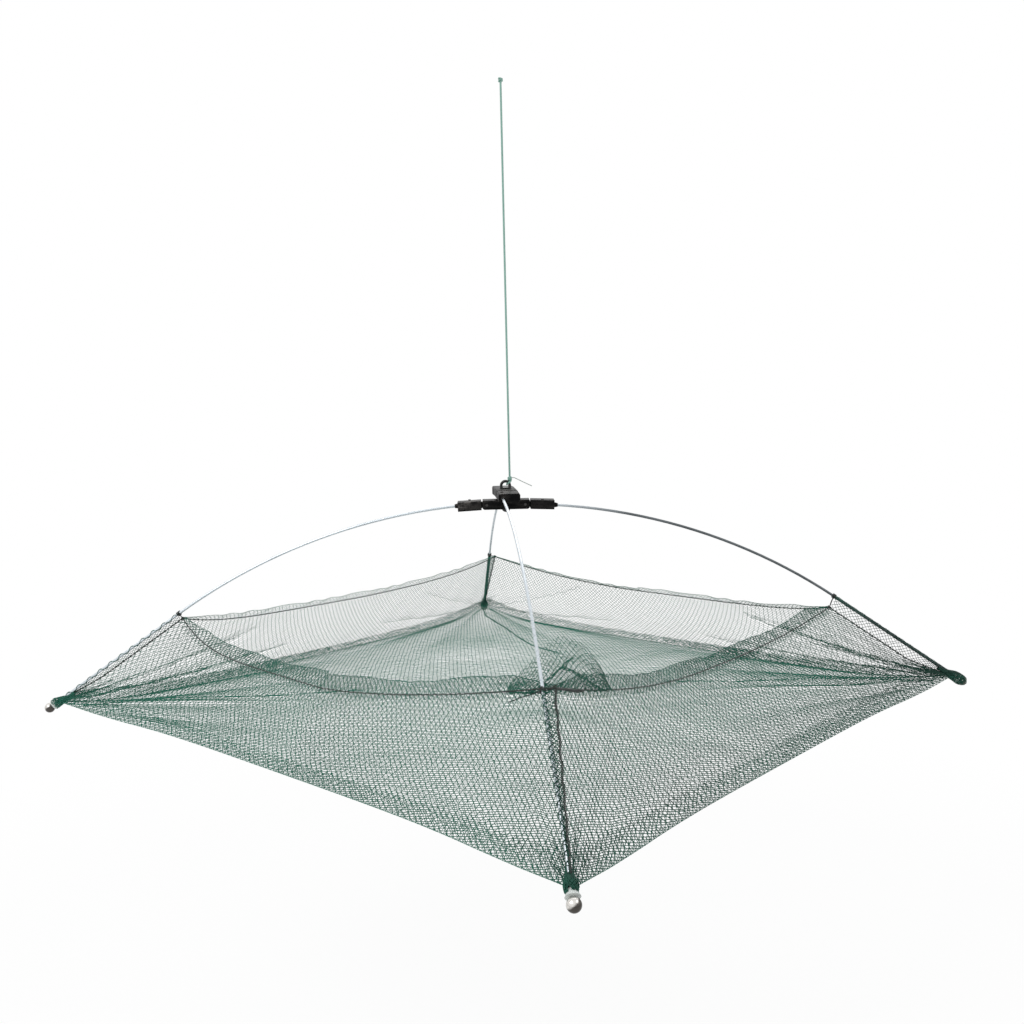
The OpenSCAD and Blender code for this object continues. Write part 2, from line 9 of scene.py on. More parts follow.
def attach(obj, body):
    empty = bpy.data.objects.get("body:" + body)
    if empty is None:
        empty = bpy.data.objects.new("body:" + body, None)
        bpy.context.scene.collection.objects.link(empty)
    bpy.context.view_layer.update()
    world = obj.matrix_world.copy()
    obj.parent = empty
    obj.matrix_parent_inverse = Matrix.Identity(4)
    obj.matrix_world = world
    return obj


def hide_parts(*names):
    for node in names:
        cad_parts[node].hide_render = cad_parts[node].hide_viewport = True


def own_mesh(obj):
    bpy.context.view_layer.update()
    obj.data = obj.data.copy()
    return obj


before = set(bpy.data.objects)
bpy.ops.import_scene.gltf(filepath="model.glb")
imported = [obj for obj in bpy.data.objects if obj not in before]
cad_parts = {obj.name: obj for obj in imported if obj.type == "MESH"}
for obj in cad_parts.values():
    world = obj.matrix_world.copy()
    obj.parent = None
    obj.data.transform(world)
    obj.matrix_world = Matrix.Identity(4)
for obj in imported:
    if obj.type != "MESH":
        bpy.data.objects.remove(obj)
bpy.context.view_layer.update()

bl_info = {
    "name": "Folding Crab Trap",
    "version": (1, 0, 0),
    "blender": (4, 5, 0),
    "location": "View3D > Sidebar > Trap",
    "description": "Dresses a folding crab trap with its netting, cords and finishes",
    "category": "Object",
}

MM = 0.001
# Starts the name of every material made here. The imported CAD brings plain materials called
# spring_steel and dark_cord, and without this they would be found in place of the made ones.
LOOK = "look_"

# ---- the trap's own sizes, in millimetres, as its construction has them ----
SIDE = 600.0
HUB_H = 182.0
BAR_PITCH = 10.0
SKEW = 3.2
BAR_LEN = 42.5
PIN_BACK = 3.8
HINGE_GAP = 1.2
SLEEVE_LEN = 21.4
ROD_D = 2.4
ROD_OFF = 6.0
ROD_GRIP = 15.0
ROD_BOW = 9.7
DROOP = 2.5
BALL_D = 9.0
FLAT_W = 3.4
COLLAR_LEN = 5.0
# Bunched strands of a gathered corner, more of them on the right one
BUNCH_STRANDS = 230
BUNCH_STRANDS_RIGHT = 360
# How far from its diagonals a floor quarter comes down to the ground
FLOOR_FADE = 40
NET_LIFT = 0.8
TIE_LEN = 148.0
# Distance of a side's middle from the trap's axis at the ground,
# and how much of it each millimetre up takes away
WALL_FOOT_R = 270.7
WALL_LEAN = 0.892
SOFT_GAP = 0.4
HEM_D = 1.8

TIP_R = SIDE / math.sqrt(2)
BALL_R = BALL_D / 2
ROD_R = ROD_D / 2
BALL_Z = math.sqrt(BALL_R ** 2 - (FLAT_W / 2) ** 2)
PIN_X = BAR_LEN / 2 - PIN_BACK
MOUTH_X = BAR_LEN / 2 + HINGE_GAP + SLEEVE_LEN
ROD_YAW = math.asin(ROD_OFF / (TIP_R - (MOUTH_X - ROD_GRIP / 2)))
CORNER_DROP = ROD_R + SOFT_GAP + HEM_D / 2
HALF_WIDE = math.radians(45 + SKEW / 2)
HALF_SLIM = math.radians(45 - SKEW / 2)

# Twine of the walls, the flap and the floor, as shares of the netting's usual twine
WALL_GAUGE = 0.90
FLAP_GAUGE = 0.8
FLOOR_GAUGE = 1.3

# ---- camera, as the photograph was taken ----
CAMERA_PLACE = (-19.35, -989.6, 281.7)
CAMERA_YAW = 0.025
CAMERA_PITCH = 0.108
CAMERA_ROLL = -0.023
CAMERA_LENS = 38.3
STAGE_DROP = -0.30

# ---- the spare flap inside the front corner ----
FLAP_LEFT = -6.0
FLAP_RIGHT = 61.0
FLAP_TALL = 33.0
FLAP_FOOT_Y = -284
FLAP_FOOT_Z = 83.5
FLAP_RIM_Y = -262

# ---- the hauling line, as the construction routes it ----
LINE_X = 4.0
LINE_ROUTE = [207, 232, 256, 280, 304, 328, 352, 376, 400, 424, 448, 472, 496, 520, 540, 554]
TAIL_ROUTE = [(6, -1, 206), (8, -1, 206), (10, -1, 205), (12, -1, 204), (14, -2, 203), (16, -2, 202),
              (18, -2, 201), (20, -2, 200), (22, -2, 199), (24, -2, 198)]


class Arm:
    """One of the four arms: its compass, its bar's height, and the places that the netting hangs from."""

    def __init__(self, name, angle, bar_z, left, right):
        self.name = name
        self.angle = math.radians(angle)
        self.bar_z = bar_z
        self.half = {1: left, -1: right}
        mouth_z = bar_z - (MOUTH_X - PIN_X) * math.sin(math.radians(DROOP)) - 0.2
        self.slope = math.atan2(mouth_z - BALL_Z, TIP_R - MOUTH_X) + math.radians(ROD_BOW)
        run, rise = math.cos(self.slope), math.sin(self.slope)
        out = (BALL_Z - NET_LIFT) / math.tan(self.slope) - CORNER_DROP / rise
        self.foot = np.array([TIP_R + out * math.cos(ROD_YAW), out * math.sin(ROD_YAW), NET_LIFT])
        self.up_rod = np.array([-run * math.cos(ROD_YAW), -run * math.sin(ROD_YAW), rise])
        self.off_rod = np.array([rise * math.cos(ROD_YAW), rise * math.sin(ROD_YAW), run])
        self.ball = np.array([TIP_R, 0.0, BALL_Z])

    def world(self, points):
        """Points on the arm, its tip along +X, taken to the trap's frame."""
        p = np.asarray(points, float)
        c, s = math.cos(self.angle), math.sin(self.angle)
        return p @ np.array([[c, s, 0], [-s, c, 0], [0, 0, 1]])

    def axis(self, vector):
        return tuple(float(v) for v in self.world(vector))

    def on_rod(self, along, off=0.0, side=0.0):
        """A point beside the rod's straight end: along from the ball's centre, off its upper side."""
        across = np.cross(self.up_rod, self.off_rod)
        return self.ball + along * self.up_rod + off * self.off_rod + side * across


ARMS = [
    Arm("left", 180, HUB_H, HALF_WIDE, HALF_SLIM),
    Arm("right", 0, HUB_H, HALF_WIDE, HALF_SLIM),
    Arm("near", -90 + SKEW, HUB_H + BAR_PITCH, HALF_SLIM, HALF_WIDE),
    Arm("far", 90 + SKEW, HUB_H + BAR_PITCH, HALF_SLIM, HALF_WIDE),
]


# ------------------------------------------------------------------ settings
def length(name, default, text):
    return FloatProperty(name=name, description=text, default=default * MM, unit="LENGTH", precision=5)


def tint(name, default, text):
    return FloatVectorProperty(name=name, description=text, default=default, subtype="COLOR", size=3,
                               min=0.0, max=1.0)


class TrapNetSizes(bpy.types.PropertyGroup):
    across: IntProperty(name="Meshes", description="Meshes along one side of the bag", default=100)
    rows: IntProperty(name="Rows", description="Half meshes from the floor up to the hem", default=36)
    frill_rows: IntProperty(name="Frill rows", description="Half meshes above the hem cord", default=4)
    twine: length("Twine", 0.46, "Thickness of the netting's twine")
    knot: length("Knot", 0.9, "Width of the netting's knots")
    doubled_rows: IntProperty(name="Doubled rows", description="Half meshes of the doubled foot", default=5)
    ruffle: length("Ruffle", 0.7, "How far the frill waves in and out")


class TrapCordSizes(bpy.types.PropertyGroup):
    line: length("Line", 1.8, "Diameter of the hauling line")
    tail: length("Tail", 0.8, "Diameter of the knot's loose end")
    hem: length("Hem cord", 0.95, "Diameter of the hem cord")
    lacing: length("Lacing", 0.8, "Diameter of the lacing along the corners")


class TrapFinishes(bpy.types.PropertyGroup):
    plastic: tint("Plastic", (0.003, 0.003, 0.0035), "Moulded black plastic")
    # Grey of the scuffs, also used as painted light on the plastic's upward and lamp-side faces
    scuff: tint("Scuffs", (0.16, 0.15, 0.14), "Scuffed edges of the plastic")
    coat: tint("Coating", (0.004, 0.004, 0.0045), "Black coating of the ring")
    steel: tint("Spring steel", (0.60, 0.65, 0.69), "Sprung rods")
    pin: tint("Pins", (0.06, 0.06, 0.06), "Hinge pins and rivets")
    nickel: tint("Nickel", (0.74, 0.72, 0.69), "Plated tip balls")
    collar: tint("Collars", (0.80, 0.85, 0.82), "Translucent collars")
    twine: tint("Twine", (0.016, 0.125, 0.084), "Green netting twine")
    twine_dark: tint("Dark twine", (0.003, 0.022, 0.015), "Netting twine where it is darkest")
    cord: tint("Cord", (0.006, 0.011, 0.009), "Hem and corner cords")
    line: tint("Line", (0.25, 0.46, 0.39), "Hauling line")
    tail: tint("Tail", (0.50, 0.56, 0.53), "Loose end of the knot")


# ------------------------------------------------------------------ shader expressions
class Flow:
    """One socket of a material, so that shader maths reads as plain expressions."""

    def __init__(self, board, socket):
        self.board = board
        self.socket = socket

    def _do(self, operation, *terms, clamp=False):
        node = self.board.tree.nodes.new("ShaderNodeMath")
        node.operation = operation
        node.use_clamp = clamp
        for slot, term in zip(node.inputs, terms):
            self.board.feed(slot, term)
        return Flow(self.board, node.outputs[0])

    def __add__(self, other): return self._do("ADD", self, other)
    def __radd__(self, other): return self._do("ADD", other, self)
    def __sub__(self, other): return self._do("SUBTRACT", self, other)
    def __rsub__(self, other): return self._do("SUBTRACT", other, self)
    def __mul__(self, other): return self._do("MULTIPLY", self, other)
    def __rmul__(self, other): return self._do("MULTIPLY", other, self)
    def __truediv__(self, other): return self._do("DIVIDE", self, other)
    def __pow__(self, other): return self._do("POWER", self, other)
    def __gt__(self, other): return self._do("GREATER_THAN", self, other)
    def sin(self): return self._do("SINE", self)
    def clamp(self): return self._do("ADD", self, 0.0, clamp=True)
    def angle_to(self, other): return self._do("ARCTAN2", self, other)


class Board:
    """A material under construction."""

    def __init__(self, name):
        self.material = bpy.data.materials.new(LOOK + name)
        self.material.use_nodes = True
        self.tree = self.material.node_tree
        self.tree.nodes.clear()

    def feed(self, slot, value):
        if isinstance(value, Flow):
            self.tree.links.new(value.socket, slot)
        elif isinstance(value, (tuple, list)) and slot.type == "RGBA" and len(value) == 3:
            slot.default_value = (*value, 1.0)
        else:
            slot.default_value = value

    def put(self, kind, settings=None, out=0, **inputs):
        """Adds a node: its settings first, then the values or links of its sockets."""
        node = self.tree.nodes.new("ShaderNode" + kind)
        for key, value in (settings or {}).items():
            if key == "stops":
                ramp = node.color_ramp
                while len(ramp.elements) < len(value):
                    ramp.elements.new(0.5)
                for element, (place, colour) in zip(ramp.elements, value):
                    element.position = place
                    element.color = (*colour, 1.0)
            else:
                setattr(node, key, value)
        for key, value in inputs.items():
            self.feed(node.inputs[key.replace("_", " ")], value)
        return Flow(self, node.outputs[out])

    def place(self):
        return self.put("TexCoord", out=3)

    def noise(self, scale, detail=4.0, rough=0.55, at=None):
        return self.put("TexNoise", Vector=at or self.place(), Scale=scale, Detail=detail, Roughness=rough)

    def mix(self, share, a, b):
        node = self.tree.nodes.new("ShaderNodeMix")
        node.data_type = "RGBA"
        self.feed(node.inputs[0], share)
        self.feed(node.inputs[6], a)
        self.feed(node.inputs[7], b)
        return Flow(self, node.outputs[2])

    def bump(self, height, strength, distance):
        return self.put("Bump", Height=height, Strength=strength, Distance=distance)

    def split(self, vector):
        node = self.tree.nodes.new("ShaderNodeSeparateXYZ")
        self.feed(node.inputs[0], vector)
        return [Flow(self, s) for s in node.outputs]

    def finish(self, **inputs):
        """Closes the material with one surface shader."""
        shader = self.put("BsdfPrincipled", **inputs)
        out = self.tree.nodes.new("ShaderNodeOutputMaterial")
        self.tree.links.new(shader.socket, out.inputs[0])
        return self.material


def finishes():
    return bpy.context.scene.trap_finishes


def once(maker):
    """A material is made once and then shared."""
    def get():
        return bpy.data.materials.get(LOOK + maker.__name__) or maker()
    return get


@once
def scuffed_plastic():
    """Black moulded plastic, pitted all over and grey on its upper faces and edges, most of all
    on the left sleeve and on the near end of the upper bar: partly scuffs, partly painted light on the
    upward faces and on the left and near sides, where the key lamp falls."""
    f, b = finishes(), Board("scuffed_plastic")
    facing_up = b.split(b.put("NewGeometry", out=1))[2]
    east, north, _ = b.split(b.place())
    fine, coarse = b.noise(900.0, 6.0, 0.7), b.noise(130.0, 5.0, 0.65)
    edge = b.put("NewGeometry", out=7)
    # Painted light: more grey on the left and near sides, where the key lamp falls; the scuffs are weighted
    # there too
    lamp_lit_and_handled_share = ((-0.018 - east) * 90.0).clamp() * 0.9 + ((-0.004 - north) * 60.0).clamp() * 0.35 + 0.12
    # Grey patches on upward faces: partly scuffs, partly painted light from above
    worn = ((coarse - 0.44) * 5.0).clamp() * ((facing_up + 0.35) * 0.9).clamp() * lamp_lit_and_handled_share
    rim = ((edge - 0.52) * 9.0).clamp() * ((fine - 0.35) * 2.2).clamp() * (lamp_lit_and_handled_share * 0.7 + 0.25)
    scratch = b.noise(60.0, 3.0, 0.5, at=b.put("Mapping", Vector=b.place(), Scale=(1.0, 14.0, 6.0)))
    lines = ((scratch - 0.58) * 9.0).clamp() * lamp_lit_and_handled_share
    share = (worn * 0.75 + rim * 0.5 + lines * 0.3).clamp()
    return b.finish(Base_Color=b.mix(share, tuple(f.plastic), tuple(f.scuff)), Specular_IOR_Level=0.05,
                    Roughness=0.40 + share * 0.35 + (fine - 0.5) * 0.2,
                    Normal=b.bump(fine * 0.6 + coarse * 0.4, 0.35, 0.0003))


@once
def black_coating():
    f, b = finishes(), Board("black_coating")
    grain = b.noise(1200.0, 4.0)
    return b.finish(Base_Color=b.mix(((grain - 0.55) * 3.0).clamp(), tuple(f.coat), (0.05, 0.05, 0.05)),
                    Roughness=0.34 + (grain - 0.5) * 0.25, Normal=b.bump(grain, 0.25, 0.0002))


@once
def spring_steel():
    """Drawn spring steel, bluish grey, with fine lines along the wire and a few dull spots. The right
    arm's rod is dark slate, all but its first part."""
    f, b = finishes(), Board("spring_steel")
    east = b.split(b.place())[0]
    spots, fine = b.noise(45.0, 5.0, 0.6), b.noise(1500.0, 3.0)
    dull = ((spots - 0.5) * 4.0).clamp()
    # Darker, less metallic steel on the right arm's rod beyond its first part, by position
    right_rod_dark = ((east - 0.03) * 12.0).clamp() * 0.86 * (0.85 + spots * 0.3)
    bare = b.mix(dull * 0.5, tuple(f.steel), tuple(0.62 * c for c in f.steel))
    return b.finish(Base_Color=b.mix(right_rod_dark.clamp(), bare, (0.012, 0.020, 0.024)),
                    Metallic=0.85 - right_rod_dark * 0.8, Roughness=0.27 + dull * 0.18 + (fine - 0.5) * 0.12,
                    Normal=b.bump(fine, 0.12, 0.0001))


@once
def dark_pin_steel():
    f, b = finishes(), Board("dark_pin_steel")
    fine = b.noise(1400.0, 4.0)
    return b.finish(Base_Color=b.mix(((fine - 0.45) * 3.0).clamp(), tuple(f.pin), (0.09, 0.08, 0.075)),
                    Metallic=0.9, Roughness=0.38 + (fine - 0.5) * 0.3, Normal=b.bump(fine, 0.2, 0.0001))


@once
def nickel_plate():
    f, b = finishes(), Board("nickel_plate")
    haze, fine = b.noise(260.0, 4.0), b.noise(1800.0, 3.0)
    x, _, z = b.split(b.put("NewGeometry", out=1))
    worn = b.mix(((haze - 0.5) * 3.0).clamp() * 0.5, tuple(f.nickel), (0.42, 0.39, 0.34))
    # Painted shade: each ball's bottom and right side, by their normals, turn dark brown, standing in for
    # shade and dark reflections
    low = ((0.62 - z + x * 0.85 + (haze - 0.5) * 0.8) * 2.6).clamp()
    return b.finish(Base_Color=b.mix(low * 0.93, worn, (0.035, 0.030, 0.026)),
                    Metallic=1.0, Roughness=0.13 + (haze - 0.4) * 0.25, Normal=b.bump(fine, 0.06, 0.0001))


@once
def milky_collar():
    f, b = finishes(), Board("milky_collar")
    cloud = b.noise(420.0, 3.0)
    return b.finish(Base_Color=b.mix(cloud, tuple(f.collar), (0.62, 0.66, 0.64)),
                    Roughness=0.3 + cloud * 0.15,
                    Alpha=0.82 + (cloud - 0.5) * 0.2, Normal=b.bump(cloud, 0.1, 0.0002), IOR=1.46)


@once
def green_twine():
    """Netting twine: teal green, brighter along the foot, nearly black where strands are wet or doubled, and
    darkest towards the right corner. Pale flecks along the strands are painted highlights, more of them
    along the foot."""
    f, b = finishes(), Board("green_twine")
    east, north, up = b.split(b.place())
    patch, strand, lay = b.noise(9.0, 3.0, 0.5), b.noise(240.0, 3.0), b.noise(2600.0, 2.0)
    # Darker towards the right corner, by position
    tips = (((east - north) - 0.27) * 6.0).clamp() * (((east + 0.02) * 9.0).clamp()) * 0.75
    foot = ((0.013 - up) * 160.0).clamp() * 0.8
    dark = ((patch - 0.42) * 3.2).clamp() * 0.5 + ((strand - 0.42) * 2.6).clamp() * 0.5 + tips - foot
    # Painted highlights: pale flecks along the strands stand in for the sparkle of the translucent twine
    sparkle_tint = tuple(min(1.0, 2.0 * c + 0.01) for c in f.twine)
    painted_sparkle = ((lay - 0.46) * 3.0).clamp() * (0.55 + foot * 0.35)
    body = b.mix(painted_sparkle.clamp(), b.mix(dark.clamp(), tuple(f.twine), tuple(f.twine_dark)), sparkle_tint)
    return b.finish(Base_Color=b.mix((tips * 0.8).clamp(), body, tuple(f.twine_dark)),
                    Roughness=0.6 + (lay - 0.5) * 0.3, Specular_IOR_Level=0.25,
                    Normal=b.bump(lay, 0.5, 0.0002))


@once
def dark_cord():
    f, b = finishes(), Board("dark_cord")
    fray, lay = b.noise(420.0, 4.0), b.noise(2200.0, 3.0)
    return b.finish(Base_Color=b.mix(((fray - 0.5) * 3.0).clamp(), tuple(f.cord), (0.016, 0.055, 0.036)),
                    Roughness=0.62 + (lay - 0.5) * 0.3, Sheen_Weight=0.1, Normal=b.bump(lay, 0.6, 0.0002))


@once
def braided_line():
    """The hauling line's braid: two sets of strands that wind opposite ways up the line."""
    f, b = finishes(), Board("braided_line")
    x, y, z = b.split(b.place())
    turn = (y * 1000.0).angle_to(x * 1000.0 - LINE_X)
    right = (turn * 4.0 + z * 5200.0).sin()
    left = (turn * 4.0 - z * 5200.0).sin()
    weave = right * left * 0.5 + 0.5
    soil = b.noise(60.0, 4.0)
    body = b.mix(weave, tuple(0.62 * c for c in f.line), tuple(min(1.0, 1.12 * c) for c in f.line))
    soiled = tuple(0.55 * c for c in f.line)
    return b.finish(Base_Color=b.mix(((soil - 0.5) * 2.0).clamp() * 0.5, body, soiled),
                    Roughness=0.55 + weave * 0.15, Sheen_Weight=0.2, Normal=b.bump(weave, 0.6, 0.0003))


@once
def pale_fibre():
    f, b = finishes(), Board("pale_fibre")
    fine = b.noise(1500.0, 3.0)
    return b.finish(Base_Color=b.mix(fine, tuple(0.7 * c for c in f.tail), tuple(f.tail)),
                    Roughness=0.5 + fine * 0.2, Normal=b.bump(fine, 0.4, 0.0002))


# ------------------------------------------------------------------ mesh helpers
def calm():
    """Nothing is selected and nothing is being edited."""
    if bpy.context.object and bpy.context.object.mode != "OBJECT":
        bpy.ops.object.mode_set(mode="OBJECT")
    bpy.ops.object.select_all(action="DESELECT")


def only(obj):
    calm()
    obj.select_set(True)
    bpy.context.view_layer.objects.active = obj


def dress(obj, material, slot_name, body, *nodes):
    """Gives a finished piece its material, the body it rides on and its nodes; slot_name, the slot it stands
    for, is not used.
    """
    obj.data.materials.clear()
    obj.data.materials.append(material)
    if nodes:
        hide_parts(*nodes)
    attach(obj, body)
    return obj


def mesh_piece(name, verts, faces, smooth=True):
    mesh = bpy.data.meshes.new(name)
    mesh.from_pydata([tuple(v) for v in verts], [], [tuple(f) for f in faces])
    mesh.validate()
    obj = bpy.data.objects.new(name, mesh)
    bpy.context.scene.collection.objects.link(obj)
    mesh.polygons.foreach_set("use_smooth", [smooth] * len(mesh.polygons))
    mesh.update()
    return obj


def rings(points, radius, sides=8, twist=0.0):
    """A closed tube's corners and faces along points; radius may differ from point to point."""
    p = np.asarray(points, float)
    n = len(p)
    r = np.broadcast_to(np.asarray(radius, float), (n,))
    ahead = np.vstack([p[1:] - p[:-1], p[-1:] - p[-2:-1]])
    behind = np.vstack([ahead[:1], ahead[:-1]])
    t = ahead / np.linalg.norm(ahead, axis=1)[:, None] + behind / np.linalg.norm(behind, axis=1)[:, None]
    t /= np.maximum(np.linalg.norm(t, axis=1), 1e-9)[:, None]
    side = np.cross(t[0], (0.31, 0.22, 0.92))
    verts = []
    for i in range(n):
        side = side - t[i] * side.dot(t[i])
        side /= np.linalg.norm(side)
        other = np.cross(t[i], side)
        for k in range(sides):
            a = 2 * math.pi * k / sides + twist * i
            verts.append(p[i] + r[i] * (math.cos(a) * side + math.sin(a) * other))
    faces = [(i * sides + k, i * sides + (k + 1) % sides,
              (i + 1) * sides + (k + 1) % sides, (i + 1) * sides + k)
             for i in range(n - 1) for k in range(sides)]
    faces.append(tuple(range(sides))[::-1])
    faces.append(tuple((n - 1) * sides + k for k in range(sides)))
    return verts, faces


def join_shapes(shapes):
    verts, faces = [], []
    for v, f in shapes:
        base = len(verts)
        verts.extend(v)
        faces.extend(tuple(base + i for i in face) for face in f)
    return verts, faces


def twine_piece(name, knots, strands, normals, gauge=1.0):
    """Netting: a three sided strand along each pair of knots, and a small knot at every crossing."""
    net = bpy.context.scene.trap_net
    r, k = gauge * net.twine / MM / 2, net.knot / MM / 2
    p, e, up = np.asarray(knots, float), np.asarray(strands, int), np.asarray(normals, float)
    a, b = p[e[:, 0]], p[e[:, 1]]
    t = b - a
    size = np.linalg.norm(t, axis=1)
    keep = size > 0.05
    e, a, b, t, size = e[keep], a[keep], b[keep], t[keep], size[keep]
    t = t / size[:, None]
    n = up[e[:, 0]] + up[e[:, 1]]
    n = n - t * (n * t).sum(1)[:, None]
    n /= np.maximum(np.linalg.norm(n, axis=1), 1e-9)[:, None]
    s = np.cross(t, n)
    ring = [n * math.cos(w) + s * math.sin(w) for w in (0.0, 2 * math.pi / 3, 4 * math.pi / 3)]
    count = len(e)
    verts = np.concatenate([a + r * ring[0], a + r * ring[1], a + r * ring[2],
                            b + r * ring[0], b + r * ring[1], b + r * ring[2]])
    i = np.arange(count)
    quads = [np.stack([i + q * count, i + (q + 3) * count, i + ((q + 1) % 3 + 3) * count,
                       i + (q + 1) % 3 * count], 1) for q in range(3)]
    caps = [np.stack([i, i + count, i + 2 * count], 1),
            np.stack([i + 3 * count, i + 5 * count, i + 4 * count], 1)]
    used = np.unique(e)
    c, m = p[used], len(used)
    n = up[used]
    s = np.cross(n, (0.0, 0.0, 1.0) if abs(n[:, 2]).mean() < 0.8 else (0.0, 1.0, 0.0))
    s /= np.maximum(np.linalg.norm(s, axis=1), 1e-9)[:, None]
    o = np.cross(n, s)
    base = len(verts)
    tips = [c + k * s, c + k * o, c - k * s, c - k * o, c + 0.8 * k * n, c - 0.8 * k * n]
    verts = np.concatenate([verts, *tips])
    j = np.arange(m) + base
    lids = []
    for q in range(4):
        here, after = j + q * m, j + (q + 1) % 4 * m
        lids.append(np.stack([here, after, j + 4 * m], 1))
        lids.append(np.stack([after, here, j + 5 * m], 1))
    faces = np.concatenate(quads).tolist() + np.concatenate(caps + lids).tolist()
    return mesh_piece(name, verts * MM, faces, smooth=False)


def surface_normals(knots, strands):
    """A rough normal at each knot, from the strands that meet there."""
    p, e = np.asarray(knots), np.asarray(strands)
    even, odd = np.zeros_like(p), np.zeros_like(p)
    d = p[e[:, 1]] - p[e[:, 0]]
    d /= np.maximum(np.linalg.norm(d, axis=1), 1e-9)[:, None]
    kind = np.arange(len(e)) % 2 == 0
    for mask, total in ((kind, even), (~kind, odd)):
        for end in (0, 1):
            np.add.at(total, e[mask, end], d[mask])
    n = np.cross(even, odd)
    size = np.linalg.norm(n, axis=1)
    n[size < 1e-6] = (0.0, 0.0, 1.0)
    n /= np.maximum(np.linalg.norm(n, axis=1), 1e-9)[:, None]
    return n


# ------------------------------------------------------------------ the bag's surfaces
def tip_spacing():
    return TIP_R / bpy.context.scene.trap_net.across


def floor_place(arm, x, y, side):
    """A place on the bag's floor: x along this arm and y along the next one, both from the middle."""
    h = arm.half[side]
    toward = np.array([math.cos(2 * h), side * math.sin(2 * h)])
    plan = np.outer(x, (1.0, 0.0)) + np.outer(y, toward)
    out = (x + y) / TIP_R
    f = np.clip(2 * y / np.maximum(x + y, 1e-6), 0, 1)
    mid = np.array([math.cos(h), side * math.sin(h)])
    pull = PULLS[arm.name, side] * (1 - (1 - f) ** 4) * out ** 3
    plan = plan - pull[:, None] * mid
    shorten = np.clip((out - 0.94) / 0.06, 0, 1) * np.clip(1 - f * 6, 0, 1) * 0.006
    plan = plan * (1 - shorten)[:, None]
    return plan


def floor_height(arm, plan, out):
    """The floor lies nearly flat, with soft creases that run in from the corner and slack in between."""
    x, y = plan[:, 0], plan[:, 1]
    crease = 2.2 * np.exp(-((y - 6 * np.sin(x / 60.0)) / 7.0) ** 2) * np.clip((x - 160) / 120, 0, 1)
    crease *= np.clip((410 - x) / 60, 0, 1)
    slack = 1.8 * np.sin(x / 31.0 + arm.angle) * np.sin(y / 43.0 + 1.0) * np.clip(1 - out, 0, 1) * 2
    drag = 1.6 * np.sin((y / np.maximum(424 - x, 30.0)) * 9.0) * np.clip((x - 120) / 150, 0, 1)
    edge = np.clip((1 - out) / 0.06, 0, 1)
    return NET_LIFT + 1.2 + np.maximum(0, crease + slack + np.abs(drag)) * edge


def side_edge(arm, side, f):
    """The bag's bottom edge, from the corner (0) to the middle of the side (1)."""
    f = np.atleast_1d(np.asarray(f, float))
    y = f * TIP_R / 2
    plan = floor_place(arm, TIP_R - y, y, side)
    return np.column_stack([plan, np.full(len(f), NET_LIFT + 1.2)])


def mid_hem(arm, side):
    h = arm.half[side]
    z = HEMS[arm.name, side][0]
    r = WALL_FOOT_R - WALL_LEAN * z
    return np.array([r * math.cos(h), side * r * math.sin(h), z])


def seam_place(arm, w):
    """The laced corner's line beside the rod, from the ball (0) to the tie (1)."""
    along, off, sideways = SEAMS[arm.name]
    w = np.atleast_1d(np.asarray(w, float))
    hang = (np.clip(w / 0.35, 0, 1) ** 0.8) if arm.name in ("right", "left") else w
    across = np.cross(arm.up_rod, arm.off_rod)
    reach = BALL_R + COLLAR_LEN + w * (TIE_LEN - BALL_R - COLLAR_LEN) + along * hang
    clear = np.clip(w / 0.1, 0, 1) * (ROD_R + SOFT_GAP)
    lift = off * hang + (clear if off > 0 else -clear * (1 - np.clip(-off / 5, 0, 1)))
    place = arm.ball + np.outer(reach, arm.up_rod) + np.outer(lift, arm.off_rod)
    return place + np.outer(sideways * hang, across)


def tie_place(arm):
    return seam_place(arm, 1.0)[0]


def hem_edge(arm, side, f):
    """The hem cord's line, from the tie on the rod (0) to the middle of the side (1)."""
    f = np.atleast_1d(np.asarray(f, float))[:, None]
    tie, mid = tie_place(arm), mid_hem(arm, side)
    p = tie + f * (mid - tie)
    p[:, 2] = tie[2] - (tie[2] - mid[2]) * (1 - (1 - f[:, 0]) ** HEMS[arm.name, side][1])
    return p


# Each half wall's hem: its height at the middle of the side, and how quickly it falls away from the tie
HEMS = {
    ("left", 1): (58.0, 6.0), ("near", -1): (58.0, 1.5),
    ("near", 1): (62.0, 2.0), ("right", -1): (62.0, 2.0),
    ("left", -1): (74.0, 6.0), ("far", 1): (74.0, 3.0), ("far", -1): (70.0, 2.0), ("right", 1): (70.0, 6.0),
}

# Each corner's gather: how wide it is at each distance behind the ball's centre,
# how many strands fan out of it,
# the rod's wrapping as strands and pitch, and the cells and rows of the doubled netting beside the rod
GATHERS = {
    "left": (((3.2, 2.6), (4.4, 4.6), (8.0, 5.0), (13.0, 3.6), (19.0, 2.2), (27.0, 0.8)),
             12, 1, 13.0, 30, 2),
    "right": (((-5.6, 0.3), (-4.0, 2.6), (-2.0, 4.7), (0.5, 5.1), (6.0, 5.0), (11.0, 4.4), (17.0, 2.8),
               (26.0, 0.8)),
              14, 6, 5.0, 30, 3),
    "near": (((5.8, 3.5), (8.0, 4.5), (12.0, 4.5), (17.0, 3.2), (25.0, 0.9)), 9, 2, 7.0, 44, 2),
    "far": (((3.0, 3.8), (6.0, 5.0), (11.0, 4.6), (16.0, 3.0), (23.0, 1.0)), 10, 3, 8.0, 36, 2),
}

# Height of the netting above each half wall's hem
FRILLS = {("left", 1): 13.0, ("near", -1): 12.0, ("near", 1): 12.0, ("right", -1): 11.0,
          ("left", -1): 9.0, ("far", 1): 9.0, ("far", -1): 3.5, ("right", 1): 6.0}

